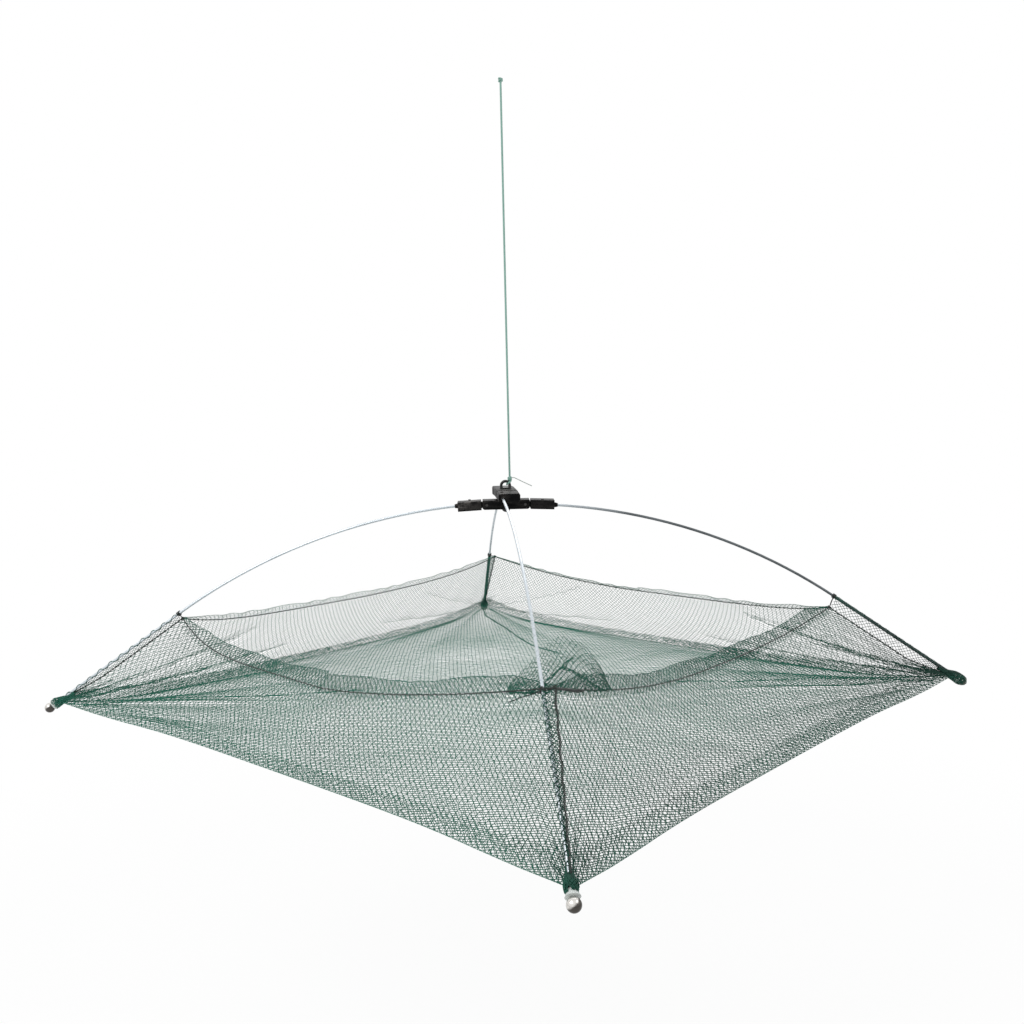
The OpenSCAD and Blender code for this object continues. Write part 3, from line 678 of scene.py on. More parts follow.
# How far the middle of each side's bottom edge is drawn in
PULLS = {("left", 1): 30.0, ("near", -1): 30.0, ("near", 1): 23.0, ("right", -1): 23.0,
         ("left", -1): 30.0, ("far", 1): 30.0, ("far", -1): 30.0, ("right", 1): 30.0}

# Where each laced corner hangs beside its rod at the tie: along the rod, off its upper side, and sideways
SEAMS = {"left": (1.0, -5.5, 2.0), "right": (-2.0, -11.0, 0.0),
         "near": (0.0, 1.2, 7.5), "far": (0.0, -2.0, -6.5)}

# Drag folds of each half wall, from its corner: where they end along the side and up the wall, how far they
# stand out, and how many strands lie drawn together in them
WALL_FOLDS = {
    ("left", 1): [(0.40, 1.0, 2.2, 6), (0.55, 0.30, 1.0, 1), (1.0, 0.22, 1.0, 0)],
    ("left", -1): [(0.50, 0.9, 2.4, 3), (0.85, 0.5, 1.5, 2)],
    ("near", 1): [(0.30, 0.9, 1.2, 0), (0.9, 0.5, 1.2, 0)],
    ("near", -1): [(0.35, 0.9, 1.2, 0), (0.9, 0.45, 1.2, 0)],
    ("right", 1): [(0.50, 0.9, 2.4, 3), (0.9, 0.4, 1.5, 2)],
    ("right", -1): [(0.36, 0.92, 2.6, 8), (0.95, 0.80, 1.0, 1), (1.0, 0.42, 1.0, 0)],
    ("far", 1): [(0.6, 0.9, 1.6, 1), (0.9, 0.5, 1.6, 1)],
    ("far", -1): [(0.6, 0.9, 1.6, 1), (0.9, 0.4, 1.6, 1)],
}


def wall_place(arm, side, f, t):
    """A place on a half wall: f from the corner to the middle of the side, t from the floor to the hem."""
    net = bpy.context.scene.trap_net
    low, top = side_edge(arm, side, f), hem_edge(arm, side, f)
    seam = seam_place(arm, np.minimum(t, 1))
    rise = top - low
    lean = rise / np.linalg.norm(rise, axis=1)[:, None]
    p = low + np.minimum(t, 1)[:, None] * rise
    middle = side_edge(arm, side, 0.0)
    chord = middle + np.minimum(t, 1)[:, None] * (tie_place(arm) - middle)
    p = p + (seam - chord) * (np.clip(1 - f / 0.35, 0, 1) ** 2)[:, None]
    above = np.maximum(t - 1, 0) / (net.frill_rows / net.rows)
    tall = FRILLS[arm.name, side] * np.clip(0.2 + f * 6, 0, 1) * (1 + 0.10 * np.sin(f * 11 + arm.angle))
    p = p + (above * tall)[:, None] * lean
    along = mid_hem(arm, side) - tie_place(arm)
    along[2] = 0
    along /= np.linalg.norm(along)
    out = np.cross(along, lean) * side
    flat_out = out / np.linalg.norm(out, axis=1)[:, None]
    sag = -4.0 * np.sin(np.pi * np.clip(t, 0, 1)) * np.sin(np.pi * np.clip(f, 0, 1) * 0.5)
    push = sag.copy()
    for k, (far, high, tall_fold, _) in enumerate(WALL_FOLDS[arm.name, side]):
        size = math.hypot(far, high)
        run = (f * far + t * high) / size
        away = (t * far - f * high) / size + 0.012 * np.sin(run * 13 + k)
        fade = np.clip(run * 7, 0, 1) * np.clip((0.95 * size - run) * 4, 0, 1) * np.clip((1.0 - t) * 8, 0, 1)
        push += tall_fold * fade * np.exp(-(away / (0.018 + 0.035 * run)) ** 2)
    push += 0.5 * np.sin(f * 40 + 9 * t) * np.clip(1 - t, 0, 1) * np.clip(t * 4, 0, 1)
    wave = np.sin(f * 41 + 2 * np.sin(f * 13 + arm.angle)) * net.ruffle / MM * np.clip(above, 0, 1)
    wave = wave * np.clip(f * 6, 0, 1) * np.clip((1 - f) * 8, 0, 1)
    return p + (push + wave)[:, None] * flat_out


def wall_lattice(arm, side):
    """Knots and strands of a half wall's diamonds, with its doubled strips and its two selvages."""
    net = bpy.context.scene.trap_net
    wide, tall = net.across, net.rows + net.frill_rows
    rng = np.random.default_rng(17 + 5 * ARMS.index(arm) + side)
    knots, strands = [], []

    def lattice(first, last, shift, out, loose):
        index, spots = {}, []
        for i in range(wide + 1):
            for j in range(first, last + 1):
                if (i + j) % 2 == 0:
                    index[i, j] = len(knots) + len(spots)
                    spots.append((i, j))
        for (i, j), here in index.items():
            for step in (1, -1):
                there = index.get((i + 1, j + step))
                strands.append((here, here if there is None else there))
        grid = np.array(spots, float)
        inside = ((grid[:, 0] > 0) & (grid[:, 0] < wide)
                  & (grid[:, 1] > 0) & (grid[:, 1] < tall)).astype(float)
        jit = rng.normal(0, 1, grid.shape) * (inside * loose)[:, None]
        f = np.clip((grid[:, 0] + shift * (grid[:, 0] < wide) + jit[:, 0]) / wide, 0, 1)
        t = np.clip(grid[:, 1] + shift * (grid[:, 1] > 0) + jit[:, 1], 0, tall) / net.rows
        p = wall_place(arm, side, f, t)
        knots.extend(p + rng.normal(0, 0.10, p.shape) * inside[:, None]
                     + out * np.array([0.7, 0.0, 0.35]) * inside[:, None])

    def selvage(t, step):
        first = len(knots)
        f = np.linspace(0, 1, wide * step + 1)
        knots.extend(wall_place(arm, side, f, np.full_like(f, t)))
        for k in range(wide * step):
            strands.extend([(first + k, first + k + 1), (first + k, first + k)])

    def bundle(far, high, count):
        for k in range(count):
            run = np.linspace(0.03, rng.uniform(0.75, 1.0), 46)
            shift = rng.uniform(-0.016, 0.016) + 0.006 * np.sin(run * rng.uniform(20, 60) + k)
            f = np.clip(run * far - shift * high, 0, 1)
            t = np.clip(run * high + shift * far, 0, 1)
            first = len(knots)
            p = wall_place(arm, side, f, t)
            knots.extend(p + rng.normal(0, 0.35, p.shape))
            for i in range(45):
                strands.extend([(first + i, first + i + 1), (first + i, first + i)])

    lattice(0, tall, 0.0, 0.0, 0.09)
    lattice(0, net.doubled_rows, 0.7, 1.0, 0.30)
    if (arm.name, side) in (("left", 1), ("near", 1), ("near", -1), ("right", -1)):
        lattice(net.rows - 2, tall, 0.6, -1.0, 0.12)
    else:
        lattice(0, net.doubled_rows + 1, 0.35, -1.0, 0.3)
    selvage(0.0, 1)
    selvage(tall / net.rows, 1)
    for far, high, out, count in WALL_FOLDS[arm.name, side]:
        bundle(far, high, count)
    return np.array(knots), strands


# Creases of the floor that run in from a corner: how many strands lie together, and their line in plan
# on the arm
FLOOR_CREASES = {
    "far": ((5, [(408, 2), (360, 1), (312, -10), (270, -20), (230, -28), (186, -41), (150, -66)]),),
    "right": ((2, [(400, 3), (300, 18), (220, 14), (150, 30)]),),
    "left": ((2, [(400, -3), (320, -16), (230, -12), (140, -30)]),),
}


def floor_lattice(arm):
    """Knots and strands of a floor quarter, in squares that run along the arm and along the next one."""
    n = bpy.context.scene.trap_net.across
    index, spots = {}, []
    for i in range(1, n + 1):
        for j in range(-i, i + 1):
            if i + abs(j) <= n:
                index[i, j] = len(spots)
                spots.append((i, j))
    strands = []
    for (i, j), here in index.items():
        for there in (index.get((i + 1, j)), index.get((i, j + 1))):
            strands.append((here, here if there is None else there))
    grid = np.array(spots, float)
    rng = np.random.default_rng(71 + ARMS.index(arm))
    free = (np.abs(grid[:, 1]) < grid[:, 0]) & (grid[:, 0] + np.abs(grid[:, 1]) < n)
    grid = grid + rng.normal(0, 0.10, grid.shape) * free[:, None]
    c = tip_spacing()
    x, y = grid[:, 0] * c, grid[:, 1] * c
    plan = np.where((y >= 0)[:, None], floor_place(arm, x, np.abs(y), 1), floor_place(arm, x, np.abs(y), -1))
    out = (x + np.abs(y)) / TIP_R
    fade = np.clip((x - np.abs(y)) / FLOOR_FADE, 0, 1)
    height = NET_LIFT + 1.2 + (floor_height(arm, plan, out) - NET_LIFT - 1.2) * fade
    knots = np.column_stack([plan, height])
    near_edge = np.clip(1 - 2 * np.abs(y) / np.maximum(x + np.abs(y), 1e-6) / 0.35, 0, 1) ** 2
    draw = seam_place(arm, 0.0)[0] - side_edge(arm, 1, 0.0)[0]
    knots = list(knots + (near_edge * np.clip((out - 0.75) * 4, 0, 1) ** 2)[:, None] * draw)
    for crease in FLOOR_CREASES.get(arm.name, ()):
        for k in range(crease[0]):
            run = np.linspace(0, 1, 60)
            path = np.array(crease[1], float)
            at = np.linspace(0, 1, len(path))
            sway = rng.uniform(-0.9, 0.9) + 0.6 * np.sin(run * rng.uniform(15, 40) + k)
            plan = np.column_stack([np.interp(run, at, path[:, 0]), np.interp(run, at, path[:, 1]) + sway])
            first = len(knots)
            height = NET_LIFT + 2.6 + rng.uniform(0, 0.8, len(run)) + 2.0 * np.sin(np.pi * run)
            knots.extend(np.column_stack([plan, height]))
            for i in range(len(run) - 1):
                strands.extend([(first + i, first + i + 1), (first + i, first + i)])
    return np.array(knots), strands


# ------------------------------------------------------------------ operators
class TRAP_OT_camera(bpy.types.Operator):
    """Set the camera where the photograph was taken from"""
    bl_idname = "trap.camera"
    bl_label = "Camera"

    def execute(self, context):
        cy, sy = math.cos(CAMERA_YAW), math.sin(CAMERA_YAW)
        cp, sp = math.cos(CAMERA_PITCH), math.sin(CAMERA_PITCH)
        ahead = Vector((sy * cp, cy * cp, -sp))
        right = Vector((cy, -sy, 0))
        up = right.cross(ahead)
        cr, sr = math.cos(CAMERA_ROLL), math.sin(CAMERA_ROLL)
        right, up = right * cr + up * sr, -right * sr + up * cr
        calm()
        bpy.ops.object.camera_add()
        camera = bpy.context.object
        camera.name = "trap_camera"
        turn = Matrix((right, up, -ahead)).transposed().to_4x4()
        camera.matrix_world = Matrix.Translation(Vector(CAMERA_PLACE) * MM) @ turn
        camera.data.lens = CAMERA_LENS
        camera.data.sensor_width = 36.0
        camera.data.clip_start = 0.01
        camera.data.clip_end = 50.0
        context.scene.camera = camera
        return {"FINISHED"}


def open_spline(name, points, radius, sides=3):
    """A cord as one open spline with a round section."""
    curve = bpy.data.curves.new(name, "CURVE")
    curve.dimensions = "3D"
    curve.bevel_depth = radius
    curve.bevel_resolution = sides
    curve.use_fill_caps = True
    spline = curve.splines.new("POLY")
    spline.points.add(len(points) - 1)
    for point, place in zip(spline.points, points):
        point.co = (*place, 1.0)
    obj = bpy.data.objects.new(name, curve)
    bpy.context.scene.collection.objects.link(obj)
    return obj


class TRAP_OT_hauling_line(bpy.types.Operator):
    """Make the hauling line, its knot on the ring, the knot's loose end and the end knot"""
    bl_idname = "trap.hauling_line"
    bl_label = "Hauling line"

    def execute(self, context):
        sizes = context.scene.trap_cords
        r = sizes.line / 2
        route = [(LINE_X * MM, 0.0, z * MM) for z in LINE_ROUTE]
        line = open_spline("hauling_line", route, r)
        knot = self.ring_knot(r / MM)
        top = self.end_knot(r / MM)
        tail = open_spline("knot_tail", [tuple(c * MM for c in p) for p in TAIL_ROUTE], sizes.tail / 2)
        for piece, material, node in ((line, braided_line(), "haul_line"),
                                      (knot, braided_line(), "line_knot"),
                                      (top, braided_line(), "line_end_knot"),
                                      (tail, pale_fibre(), "line_tail")):
            dress(piece, material, "line", "eye", node)
        return {"FINISHED"}

    def ring_knot(self, r):
        """The line's loop through the ring, and three turns drawn tight round its standing part."""
        shapes = []
        centre = np.array([LINE_X * 0.75, 0.0, 201.3])
        loop = []
        for k in range(29):
            a = 2 * math.pi * k / 28
            loop.append(centre
                        + 2.3 * np.array([math.cos(a) * math.sin(0.9), 0, math.cos(a) * math.cos(0.9)])
                        + np.array([0, 2.5 * math.sin(a), 0]))
        shapes.append(rings(loop, r * 0.92, 8))
        turns = []
        for k in range(61):
            a = 2 * math.pi * k / 20
            wide = 1.05 + 0.25 * math.sin(math.pi * k / 60)
            turns.append((LINE_X + wide * math.cos(a), wide * math.sin(a), 203.6 + 2.8 * k / 60))
        shapes.append(rings(turns, r * 0.92, 8))
        neck = [(LINE_X - 0.5, 0, 202.6), (LINE_X, 0, 204.5), (LINE_X, 0, 206), (LINE_X, 0, 208)]
        shapes.append(rings(neck, r, 8))
        verts, faces = join_shapes(shapes)
        return mesh_piece("ring_knot", np.array(verts) * MM, faces)

    def end_knot(self, r):
        """An overhand knot with a small loop, which ends the line."""
        z = LINE_ROUTE[-1]
        turns = []
        for k in range(41):
            a = 2 * math.pi * k / 40
            turns.append((LINE_X + 1.5 * math.sin(2 * a), 1.15 * math.sin(3 * a),
                          z + 1.4 + 1.3 * math.cos(a)))
        shapes = [rings(turns, r * 0.8, 8)]
        verts, faces = join_shapes(shapes)
        return mesh_piece("end_knot", np.array(verts) * MM, faces)


class TRAP_OT_hub(bpy.types.Operator):
    """Round off the moulded bars and sleeves, and finish the ring, nut, pins and rivets"""
    bl_idname = "trap.hub"
    bl_label = "Hub"

    def execute(self, context):
        plastic = scuffed_plastic()
        for node in ("lower_bar", "upper_bar"):
            dress(self.softened(node, 0.55), plastic, "black_plastic", "hub", node)
        for arm in ARMS:
            node = f"sleeve_{arm.name}"
            dress(self.softened(node, 0.5), plastic, "black_plastic", f"arm_{arm.name}", node)
            for small in ("hinge_pin", "rod_rivet"):
                self.repaint(f"{small}_{arm.name}", dark_pin_steel())
        self.repaint("eye_pin", black_coating())
        self.repaint("eye_nut", black_coating())
        return {"FINISHED"}

    def repaint(self, node, material):
        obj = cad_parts[node]
        obj.data.materials.clear()
        obj.data.materials.append(material)

    def softened(self, node, width):
        """A copy of a moulded part with its edges eased, as a mould leaves them."""
        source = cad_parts[node]
        calm()
        mesh = source.data.copy()
        obj = bpy.data.objects.new("moulded_" + node, mesh)
        bpy.context.scene.collection.objects.link(obj)
        only(obj)
        bpy.ops.object.mode_set(mode="EDIT")
        bpy.ops.mesh.select_all(action="SELECT")
        bpy.ops.mesh.remove_doubles(threshold=0.00001)
        bpy.ops.mesh.dissolve_limited(angle_limit=math.radians(2.0))
        bpy.ops.object.mode_set(mode="OBJECT")
        bevel = obj.modifiers.new("eased", "BEVEL")
        bevel.width = width * MM
        bevel.segments = 3
        bevel.limit_method = "ANGLE"
        bevel.angle_limit = math.radians(40)
        bevel.harden_normals = False
        bpy.ops.object.modifier_apply(modifier="eased")
        bpy.ops.object.shade_smooth_by_angle(angle=math.radians(35))
        return obj


class TRAP_OT_arms(bpy.types.Operator):
    """Finish the sprung rods, the tip balls and their collars"""
    bl_idname = "trap.arms"
    bl_label = "Arms"

    def execute(self, context):
        for arm in ARMS:
            for part, material in (("rod", spring_steel()), ("tip_ball", nickel_plate()),
                                   ("tip_collar", milky_collar())):
                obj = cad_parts[f"{part}_{arm.name}"]
                obj.data.materials.clear()
                obj.data.materials.append(material)
        return {"FINISHED"}


class TRAP_OT_corners(bpy.types.Operator):
    """Gather the netting behind each ball, and lace the bag's corners along the rods"""
    bl_idname = "trap.corners"
    bl_label = "Corners"

    def execute(self, context):
        for arm in ARMS:
            body = f"arm_{arm.name}"
            dress(self.bunch(arm), green_twine(), "netting", body, f"corner_bunch_{arm.name}")
            dress(self.lacing(arm), dark_cord(), "dark_cord", body, f"corner_cord_{arm.name}")
            dress(self.tie(arm), dark_cord(), "dark_cord", body, f"hem_tie_{arm.name}")
        return {"FINISHED"}

    def bunch(self, arm):
        """The netting drawn in behind the ball: a bunched core, strands that fan out of it, and the band
        that wraps the rod as far as the tie."""
        rng = np.random.default_rng(31 + ARMS.index(arm))
        outline, fan, turns, pitch, cells, rows = GATHERS[arm.name]
        at, wide = np.array(outline).T
        across = np.cross(arm.up_rod, arm.off_rod)
        shapes = []
        for k in range(BUNCH_STRANDS_RIGHT if arm.name == "right" else BUNCH_STRANDS):
            begin = rng.uniform(at[0], at[-1] - 4)
            reach = np.linspace(begin, min(at[-1], begin + rng.uniform(5, 12)), 8)
            layer = rng.uniform(0.72, 1.0) if k % 3 else 1.0
            radius = np.maximum(np.interp(reach, at, wide) * layer, 0.3)
            radius = np.where(reach > BALL_R + COLLAR_LEN, np.maximum(radius, ROD_R + 0.35), radius)
            a = rng.uniform(0, 2 * math.pi) + rng.uniform(-1, 1) * (reach - begin) * 0.22
            a = a + 0.2 * np.sin(reach + k)
            droop = np.clip((reach - 8) * 0.16, 0, 2.0)
            line = arm.ball + np.outer(reach, arm.up_rod) \
                + np.outer(radius * np.cos(a) - droop, arm.off_rod) \
                + np.outer(radius * np.sin(a), across)
            line[:, 2] = np.maximum(line[:, 2], NET_LIFT)
            shapes.append(rings(arm.world(line), 0.27, 4))
        for side in (1, -1):
            for k in range(fan):
                far, high = rng.uniform(0.02, 0.075), rng.uniform(0.0, 0.32)
                q = np.linspace(0.0, 1.0, 9)
                line = wall_place(arm, side, far * q, np.minimum(1, high * q))
                source = arm.on_rod(at[-3], -1.5, side * rng.uniform(0.3, 1.6))
                line = source + (line - source) * np.clip(q * 3, 0, 1)[:, None]
                line[1:] += rng.normal(0, 0.3, (8, 3))
                line[:, 2] = np.maximum(line[:, 2], NET_LIFT)
                shapes.append(rings(arm.world(line), 0.2, 3))
        for k in range(turns * 2):
            w = np.linspace(0.05, 1.0, 160)
            a = 2 * math.pi * k / turns + (1 if k % 2 else -1) * w * TIE_LEN * 2 * math.pi / pitch
            wrap = ROD_R + 0.35 + 0.15 * np.sin(w * 90 + k)
            reach = BALL_R + COLLAR_LEN + w * (TIE_LEN - BALL_R - COLLAR_LEN)
            line = arm.ball + np.outer(reach, arm.up_rod) + np.outer(wrap * np.cos(a), arm.off_rod) \
                + np.outer(wrap * np.sin(a), across)
            shapes.append(rings(arm.world(line), 0.28, 3))
        shapes.extend(self.web(arm, rng, across, cells, rows))
        verts, faces = join_shapes(shapes)
        return mesh_piece(f"gathered_netting_{arm.name}", np.array(verts) * MM, faces)

    def web(self, arm, rng, across, cells, rows):
        """Doubled netting between the rod and the laced corner beside it."""
        shapes = []
        w = np.linspace(0.06, 0.99, cells + 1)
        seam = seam_place(arm, w)
        reach = BALL_R + COLLAR_LEN + w * (TIE_LEN - BALL_R - COLLAR_LEN)
        start_side = -1.4 if SEAMS[arm.name][2] > 0 else 1.4 if SEAMS[arm.name][2] < 0 else 0.0
        rod = arm.ball + np.outer(reach, arm.up_rod) + np.outer(
            np.full(len(w), ROD_R + 0.5 if SEAMS[arm.name][1] > 0 else -ROD_R - 0.4), arm.off_rod)
        rod = rod + np.outer(start_side * w, across)
        for layer in range(2):
            jit = rng.normal(0, 0.28, (cells + 1, rows + 1, 3))
            for i in range(cells):
                for j in range(rows + 1):
                    if (i + j + layer) % 2:
                        continue
                    for step in (1, -1):
                        if 0 <= j + step <= rows:
                            a = rod[i] + (seam[i] - rod[i]) * j / rows + jit[i, j]
                            b = rod[i + 1] + (seam[i + 1] - rod[i + 1]) * (j + step) / rows
                            b = b + jit[i + 1, j + step]
                            shapes.append(rings(arm.world([a, b]), 0.24, 3))
        return shapes

    def lacing(self, arm):
        """The corner cord, with a lacing that winds round it and the doubled netting."""
        r = bpy.context.scene.trap_cords.lacing / MM / 2
        w = np.linspace(0.06, 1.0, 300)
        spine = seam_place(arm, w)
        across = np.cross(arm.up_rod, arm.off_rod)
        wobble = 0.35 * np.sin(w * 47) * np.clip(w * 5, 0, 1)
        spine = spine + np.outer(wobble, across)
        shapes = [rings(arm.world(spine[::5]), 0.5 if arm.name == "near" else 0.32, 6)]
        for phase in (0.0, math.pi):
            a = phase + 2 * math.pi * 23 * w
            wind = spine + np.outer(0.6 * np.sin(a), arm.off_rod) + np.outer(0.85 * np.cos(a), across)
            shapes.append(rings(arm.world(wind), r * 0.6, 4))
        verts, faces = join_shapes(shapes)
        return mesh_piece(f"corner_lacing_{arm.name}", np.array(verts) * MM, faces)

    def tie(self, arm):
        """Turns of cord round the rod that hold the hem, the strand down to it and a knot, with loose ends
        along the hem on the near arm.
        """
        across = np.cross(arm.up_rod, arm.off_rod)
        a = np.linspace(0, 6 * math.pi, 73)
        wide = ROD_R + SOFT_GAP + 0.3
        turns = arm.ball + np.outer(TIE_LEN - 1.2 + 3.2 * a / a[-1], arm.up_rod) \
            + np.outer(wide * np.cos(a), arm.off_rod) + np.outer(wide * np.sin(a), across)
        shapes = [rings(arm.world(turns), 0.42, 7)]
        top, low = arm.on_rod(TIE_LEN + 0.4, -1.2), tie_place(arm)
        for shift in (-0.5, 0.5):
            q = np.linspace(0, 1, 7)[:, None]
            line = top + q * (low - top) + shift * np.sin(np.pi * q) * across
            shapes.append(rings(arm.world(line), 0.4, 6))
        b = np.linspace(0, 2 * math.pi, 25)
        knot = low + np.outer(1.3 * np.cos(b), arm.up_rod) + np.outer(0.9 * np.sin(2 * b), arm.off_rod) \
            + np.outer(1.3 * np.sin(3 * b), across)
        shapes.append(rings(arm.world(knot), 0.5, 7))
        if arm.name == "near":
            for side, reach, drop, thick in ((-1, 0.17, 6.5, 0.42), (1, 0.15, 0.0, 0.75),
                                             (1, 0.13, 1.2, 0.55)):
                f = np.linspace(0, reach, 14)
                line = wall_place(arm, side, f, np.ones(14) * 0.995) - np.outer(
                    drop * (f / reach) ** 1.5, (0, 0, 1)) + np.outer(np.sin(f * 90) * 0.4 + 0.8, (1, 0, 0))
                shapes.append(rings(arm.world(line), thick, 6))
        verts, faces = join_shapes(shapes)
        return mesh_piece(f"hem_tying_{arm.name}", np.array(verts) * MM, faces)


def fold_half(obj, arm, side):
    """Gives the piece its own copy of its mesh; the lean and anchor towards its arm are worked out but not
    used.
    """
    lean = np.array([0.0, 0.903 * side, 0.0]) - 0.430 * arm.off_rod
    anchor = arm.foot + 60.0 * arm.up_rod
    arm.axis(lean / np.linalg.norm(lean))
    tuple(arm.world(anchor) * MM)
    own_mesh(obj)


class TRAP_OT_hem(bpy.types.Operator):
    """Run the hem cord round the top of the bag, from tie to tie"""
    bl_idname = "trap.hem"
    bl_label = "Hem cord"

    def execute(self, context):
        r = context.scene.trap_cords.hem / MM / 2
        for arm in ARMS:
            for side, word in ((1, "left"), (-1, "right")):
                f = np.linspace(0.0, 1.0, 61)
                t = np.ones_like(f)
                line = wall_place(arm, side, f, t)
                line[:, 2] += 0.35 * np.sin(f * 190) * np.clip(f * 10, 0, 1)
                line[0] = tie_place(arm)
                verts, faces = rings(arm.world(line), r, 7)
                cord = mesh_piece(f"hem_cord_{arm.name}_{word}", np.array(verts) * MM, faces)
                nodes = (f"hem_cord_{arm.name}",) if side == 1 else ()
                dress(cord, dark_cord(), "dark_cord", f"arm_{arm.name}", *nodes)
                fold_half(cord, arm, side)
        return {"FINISHED"}


class TRAP_OT_flap(bpy.types.Operator):
    """Knot the spare netting that stands up inside the front corner, with its two pleats"""
    bl_idname = "trap.flap"
    bl_label = "Flap"

    def execute(self, context):
        rng = np.random.default_rng(5)
        wide, tall = 34, 18
        spots, strands = [], []
        for shift, top in ((0.0, tall), (0.4, tall - 6)):
            index = {}
            for i in range(wide + 1):
                for j in range(top + 1):
                    if (i + j) % 2 == 0:
                        index[i, j] = len(spots)
                        spots.append(((i + shift * (0 < i < wide)) / wide,
                                      (j + shift * (0 < j < tall)) / tall))
            for (i, j), here in index.items():
                for step in (1, -1):
                    there = index.get((i + 1, j + step))
                    strands.append((here, here if there is None else there))
        spots = np.array(spots)
        knots = list(self.place(spots[:, 0], spots[:, 1]) + rng.normal(0, 0.15, (len(spots), 3)))
        lines = [((0.14, 0.03), (0.66, 0.66), 6), ((0.50, 0.56), (0.93, 0.06), 7)]
        lines += [((0.0, 0.03), (0.30, 0.05), 6)]
        for start, end, count in lines:
            for _ in range(count):
                q = np.linspace(0, 1, 18)
                a = start[0] + (end[0] - start[0]) * q + rng.uniform(-0.012, 0.012)
                b = start[1] + (end[1] - start[1]) * q + 0.05 * np.sin(np.pi * q)
                b = b + rng.uniform(-0.018, 0.018)
                first = len(knots)
                knots.extend(self.place(a, b) + rng.normal(0, 0.3, (18, 3)) - (0, 0.8, 0))
                for i in range(17):
                    strands.extend([(first + i, first + i + 1), (first + i, first + i)])
        knots = np.array(knots)
        piece = twine_piece("spare_flap", knots, strands, surface_normals(knots, strands), FLAP_GAUGE)
        dress(piece, green_twine(), "netting", "arm_near", "net_flap")
        fold_half(piece, ARMS[2], 1)
        return {"FINISHED"}

    def place(self, across, up):
        """A place on the flap, from its left foot (0) to its right (1) and from the hem (0) to its rim (1).
        Pleats may start a little outside, and are held to the flap's edge."""
        a, b = np.clip(across, 0.0, 1.0), np.asarray(up, float)
        x = FLAP_LEFT + (FLAP_RIGHT - FLAP_LEFT) * a
        foot = np.column_stack([x + 4 * (a - 0.3), FLAP_FOOT_Y + 14 * np.abs(a - 0.28) ** 1.2,
                                FLAP_FOOT_Z - 2.5 * a ** 1.5])
        rim = FLAP_TALL * np.sin(np.pi * np.clip(a, 0.0, 1.0) ** 1.35) ** 0.7
        lean = np.column_stack([x + 1.5 * np.sin(7 * a), FLAP_RIM_Y + 9 * a, foot[:, 2] + rim])
        p = foot + (lean - foot) * b[:, None]
        bulge = 7.0 * np.sin(np.pi * b) * np.sin(np.pi * a) ** 0.5
        crease = 3.0 * np.exp(-((b - 0.02 - 1.5 * (a - 0.14)) / 0.09) ** 2) * (a < 0.7)
        crease += 3.0 * np.exp(-((b - 0.02 - 1.18 * (0.97 - a)) / 0.09) ** 2) * (a > 0.48)
        p[:, 1] -= bulge + crease * np.clip(b * 8, 0, 1)
        return p


class TRAP_OT_walls(bpy.types.Operator):
    """Knot the bag's walls, two half walls to each arm"""
    bl_idname = "trap.walls"
    bl_label = "Net walls"

    def execute(self, context):
        for arm in ARMS:
            for side, word in ((1, "left"), (-1, "right")):
                knots, strands = wall_lattice(arm, side)
                knots = arm.world(knots)
                piece = twine_piece(f"net_wall_{arm.name}_{word}", knots, strands,
                                    surface_normals(knots, strands), WALL_GAUGE)
                nodes = (f"net_wall_{arm.name}",) if side == 1 else ()
                dress(piece, green_twine(), "netting", f"arm_{arm.name}", *nodes)
                fold_half(piece, arm, side)
        return {"FINISHED"}


class TRAP_OT_floor(bpy.types.Operator):
    """Knot the bag's floor in four quarters"""
    bl_idname = "trap.floor_net"
    bl_label = "Net floor"

    def execute(self, context):
        for arm in ARMS:
            knots, strands = floor_lattice(arm)
            knots = arm.world(knots)
            piece = twine_piece(f"net_floor_{arm.name}_quarter", knots, strands,
                                surface_normals(knots, strands), FLOOR_GAUGE)
            dress(piece, green_twine(), "netting", f"floor_{arm.name}", f"net_floor_{arm.name}")
            arm.axis((0, 1, 0))
            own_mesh(piece)
        return {"FINISHED"}


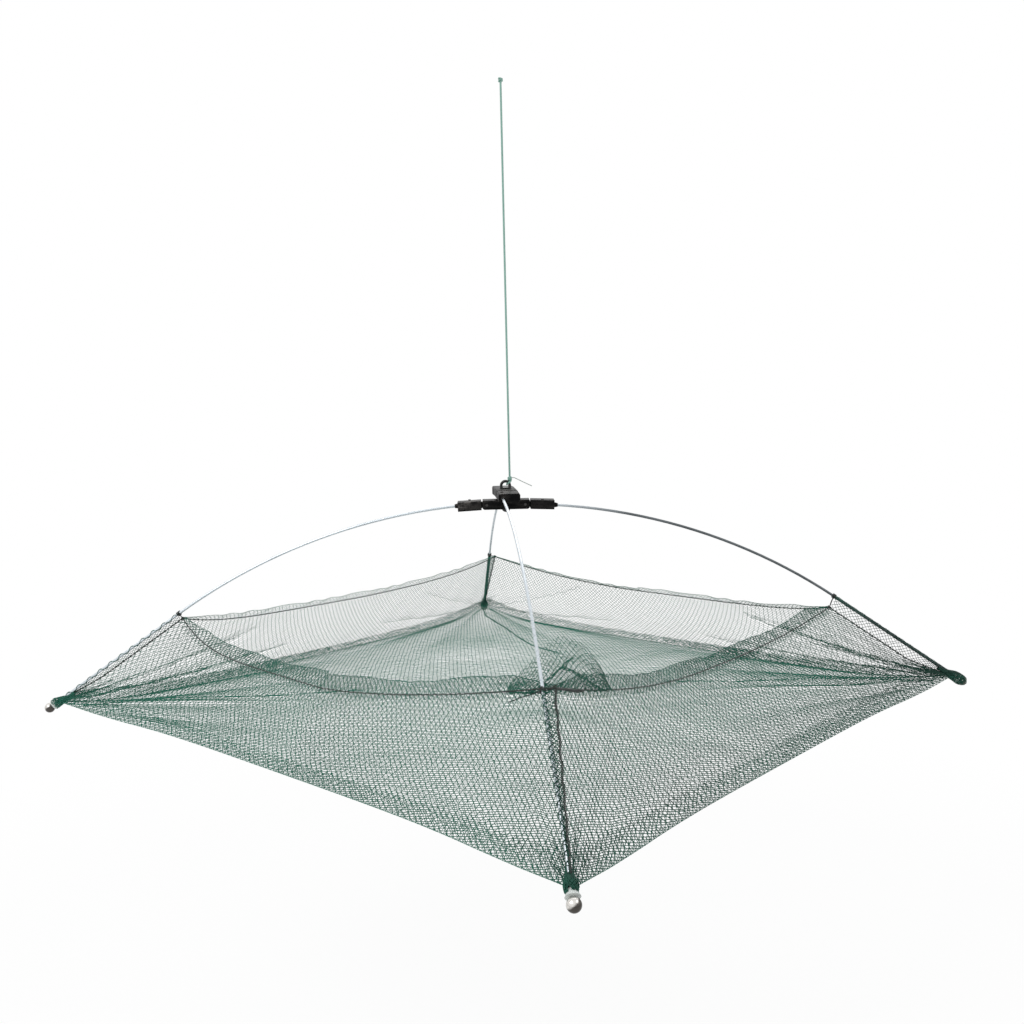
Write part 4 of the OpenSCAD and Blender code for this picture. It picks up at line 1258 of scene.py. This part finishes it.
class TRAP_OT_stage(bpy.types.Operator):
    """Set the floor, the soft lamps and the white surroundings"""
    bl_idname = "trap.stage"
    bl_label = "Stage"

    def execute(self, context):
        calm()
        bpy.ops.mesh.primitive_plane_add(size=14.0, location=(0, 0, STAGE_DROP))
        floor = bpy.context.object
        floor.name = "stage_floor"
        floor.data.materials.append(self.white_floor())
        for place, energy, size in (((-1.3, -1.1, 1.7), 22.0, 1.2), ((1.5, -0.6, 1.3), 9.0, 1.4),
                                    ((0.1, 1.5, 1.4), 10.0, 1.4)):
            bpy.ops.object.light_add(type="AREA", location=place)
            lamp = bpy.context.object
            lamp.data.energy = energy
            lamp.data.size = size
            lamp.rotation_euler = (Vector((0, 0, 0.08)) - Vector(place)).to_track_quat("-Z", "Y").to_euler()
        self.surroundings(context.scene)
        context.scene.view_settings.view_transform = "Standard"
        return {"FINISHED"}

    def white_floor(self):
        b = Board("white_floor")
        seen = b.put("LightPath", out=0)
        east, north, _ = b.split(b.place())
        reach = (east * east + north * north) ** 0.5
        plain = ((reach - 0.6) * 2.5).clamp()
        matte = b.put("BsdfDiffuse", Color=(0.9, 0.9, 0.9))
        glow = b.put("Emission", Color=(1.0, 1.0, 1.0), Strength=1.0)
        node = b.tree.nodes.new("ShaderNodeMixShader")
        b.feed(node.inputs[0], seen * (0.88 + plain * 0.12))
        b.tree.links.new(matte.socket, node.inputs[1])
        b.tree.links.new(glow.socket, node.inputs[2])
        out = b.tree.nodes.new("ShaderNodeOutputMaterial")
        b.tree.links.new(node.outputs[0], out.inputs[0])
        return b.material

    def surroundings(self, scene):
        world = scene.world or bpy.data.worlds.new("studio")
        scene.world = world
        world.use_nodes = True
        tree = world.node_tree
        tree.nodes.clear()
        path = tree.nodes.new("ShaderNodeLightPath")
        shows = tree.nodes.new("ShaderNodeMath")
        shows.operation = "MAXIMUM"
        tree.links.new(path.outputs["Is Camera Ray"], shows.inputs[0])
        tree.links.new(path.outputs["Is Glossy Ray"], shows.inputs[1])
        also = tree.nodes.new("ShaderNodeMath")
        also.operation = "MAXIMUM"
        tree.links.new(shows.outputs[0], also.inputs[0])
        tree.links.new(path.outputs["Is Transmission Ray"], also.inputs[1])
        lit = tree.nodes.new("ShaderNodeMath")
        lit.operation = "MULTIPLY_ADD"
        tree.links.new(also.outputs[0], lit.inputs[0])
        lit.inputs[1].default_value = 0.4
        lit.inputs[2].default_value = 0.6
        sky = tree.nodes.new("ShaderNodeBackground")
        sky.inputs[0].default_value = (1.0, 1.0, 1.0, 1.0)
        tree.links.new(lit.outputs[0], sky.inputs[1])
        out = tree.nodes.new("ShaderNodeOutputWorld")
        tree.links.new(sky.outputs[0], out.inputs[0])


class TRAP_PT_panel(bpy.types.Panel):
    """Lists the trap's pieces in the order they are made"""
    bl_idname = "TRAP_PT_panel"
    bl_label = "Folding Crab Trap"
    bl_space_type = "VIEW_3D"
    bl_region_type = "UI"
    bl_category = "Trap"

    def draw(self, context):
        for step in STEPS:
            self.layout.operator(step.bl_idname)
        for group in (context.scene.trap_net, context.scene.trap_cords, context.scene.trap_finishes):
            box = self.layout.box()
            for name in group.__annotations__:
                box.prop(group, name)


STEPS = (TRAP_OT_camera, TRAP_OT_hauling_line, TRAP_OT_hub, TRAP_OT_arms, TRAP_OT_corners, TRAP_OT_hem,
         TRAP_OT_flap, TRAP_OT_walls, TRAP_OT_floor, TRAP_OT_stage)
GROUPS = {"trap_net": TrapNetSizes, "trap_cords": TrapCordSizes, "trap_finishes": TrapFinishes}


def register():
    for group in GROUPS.values():
        bpy.utils.register_class(group)
    for step in STEPS:
        bpy.utils.register_class(step)
    bpy.utils.register_class(TRAP_PT_panel)
    for name, group in GROUPS.items():
        setattr(bpy.types.Scene, name, PointerProperty(type=group))


def unregister():
    for name in GROUPS:
        delattr(bpy.types.Scene, name)
    bpy.utils.unregister_class(TRAP_PT_panel)
    for step in reversed(STEPS):
        bpy.utils.unregister_class(step)
    for group in reversed(list(GROUPS.values())):
        bpy.utils.unregister_class(group)


def main():
    register()
    for step in STEPS:
        family, name = step.bl_idname.split(".")
        getattr(getattr(bpy.ops, family), name)()
    bpy.context.view_layer.update()


if __name__ == "__main__":
    main()
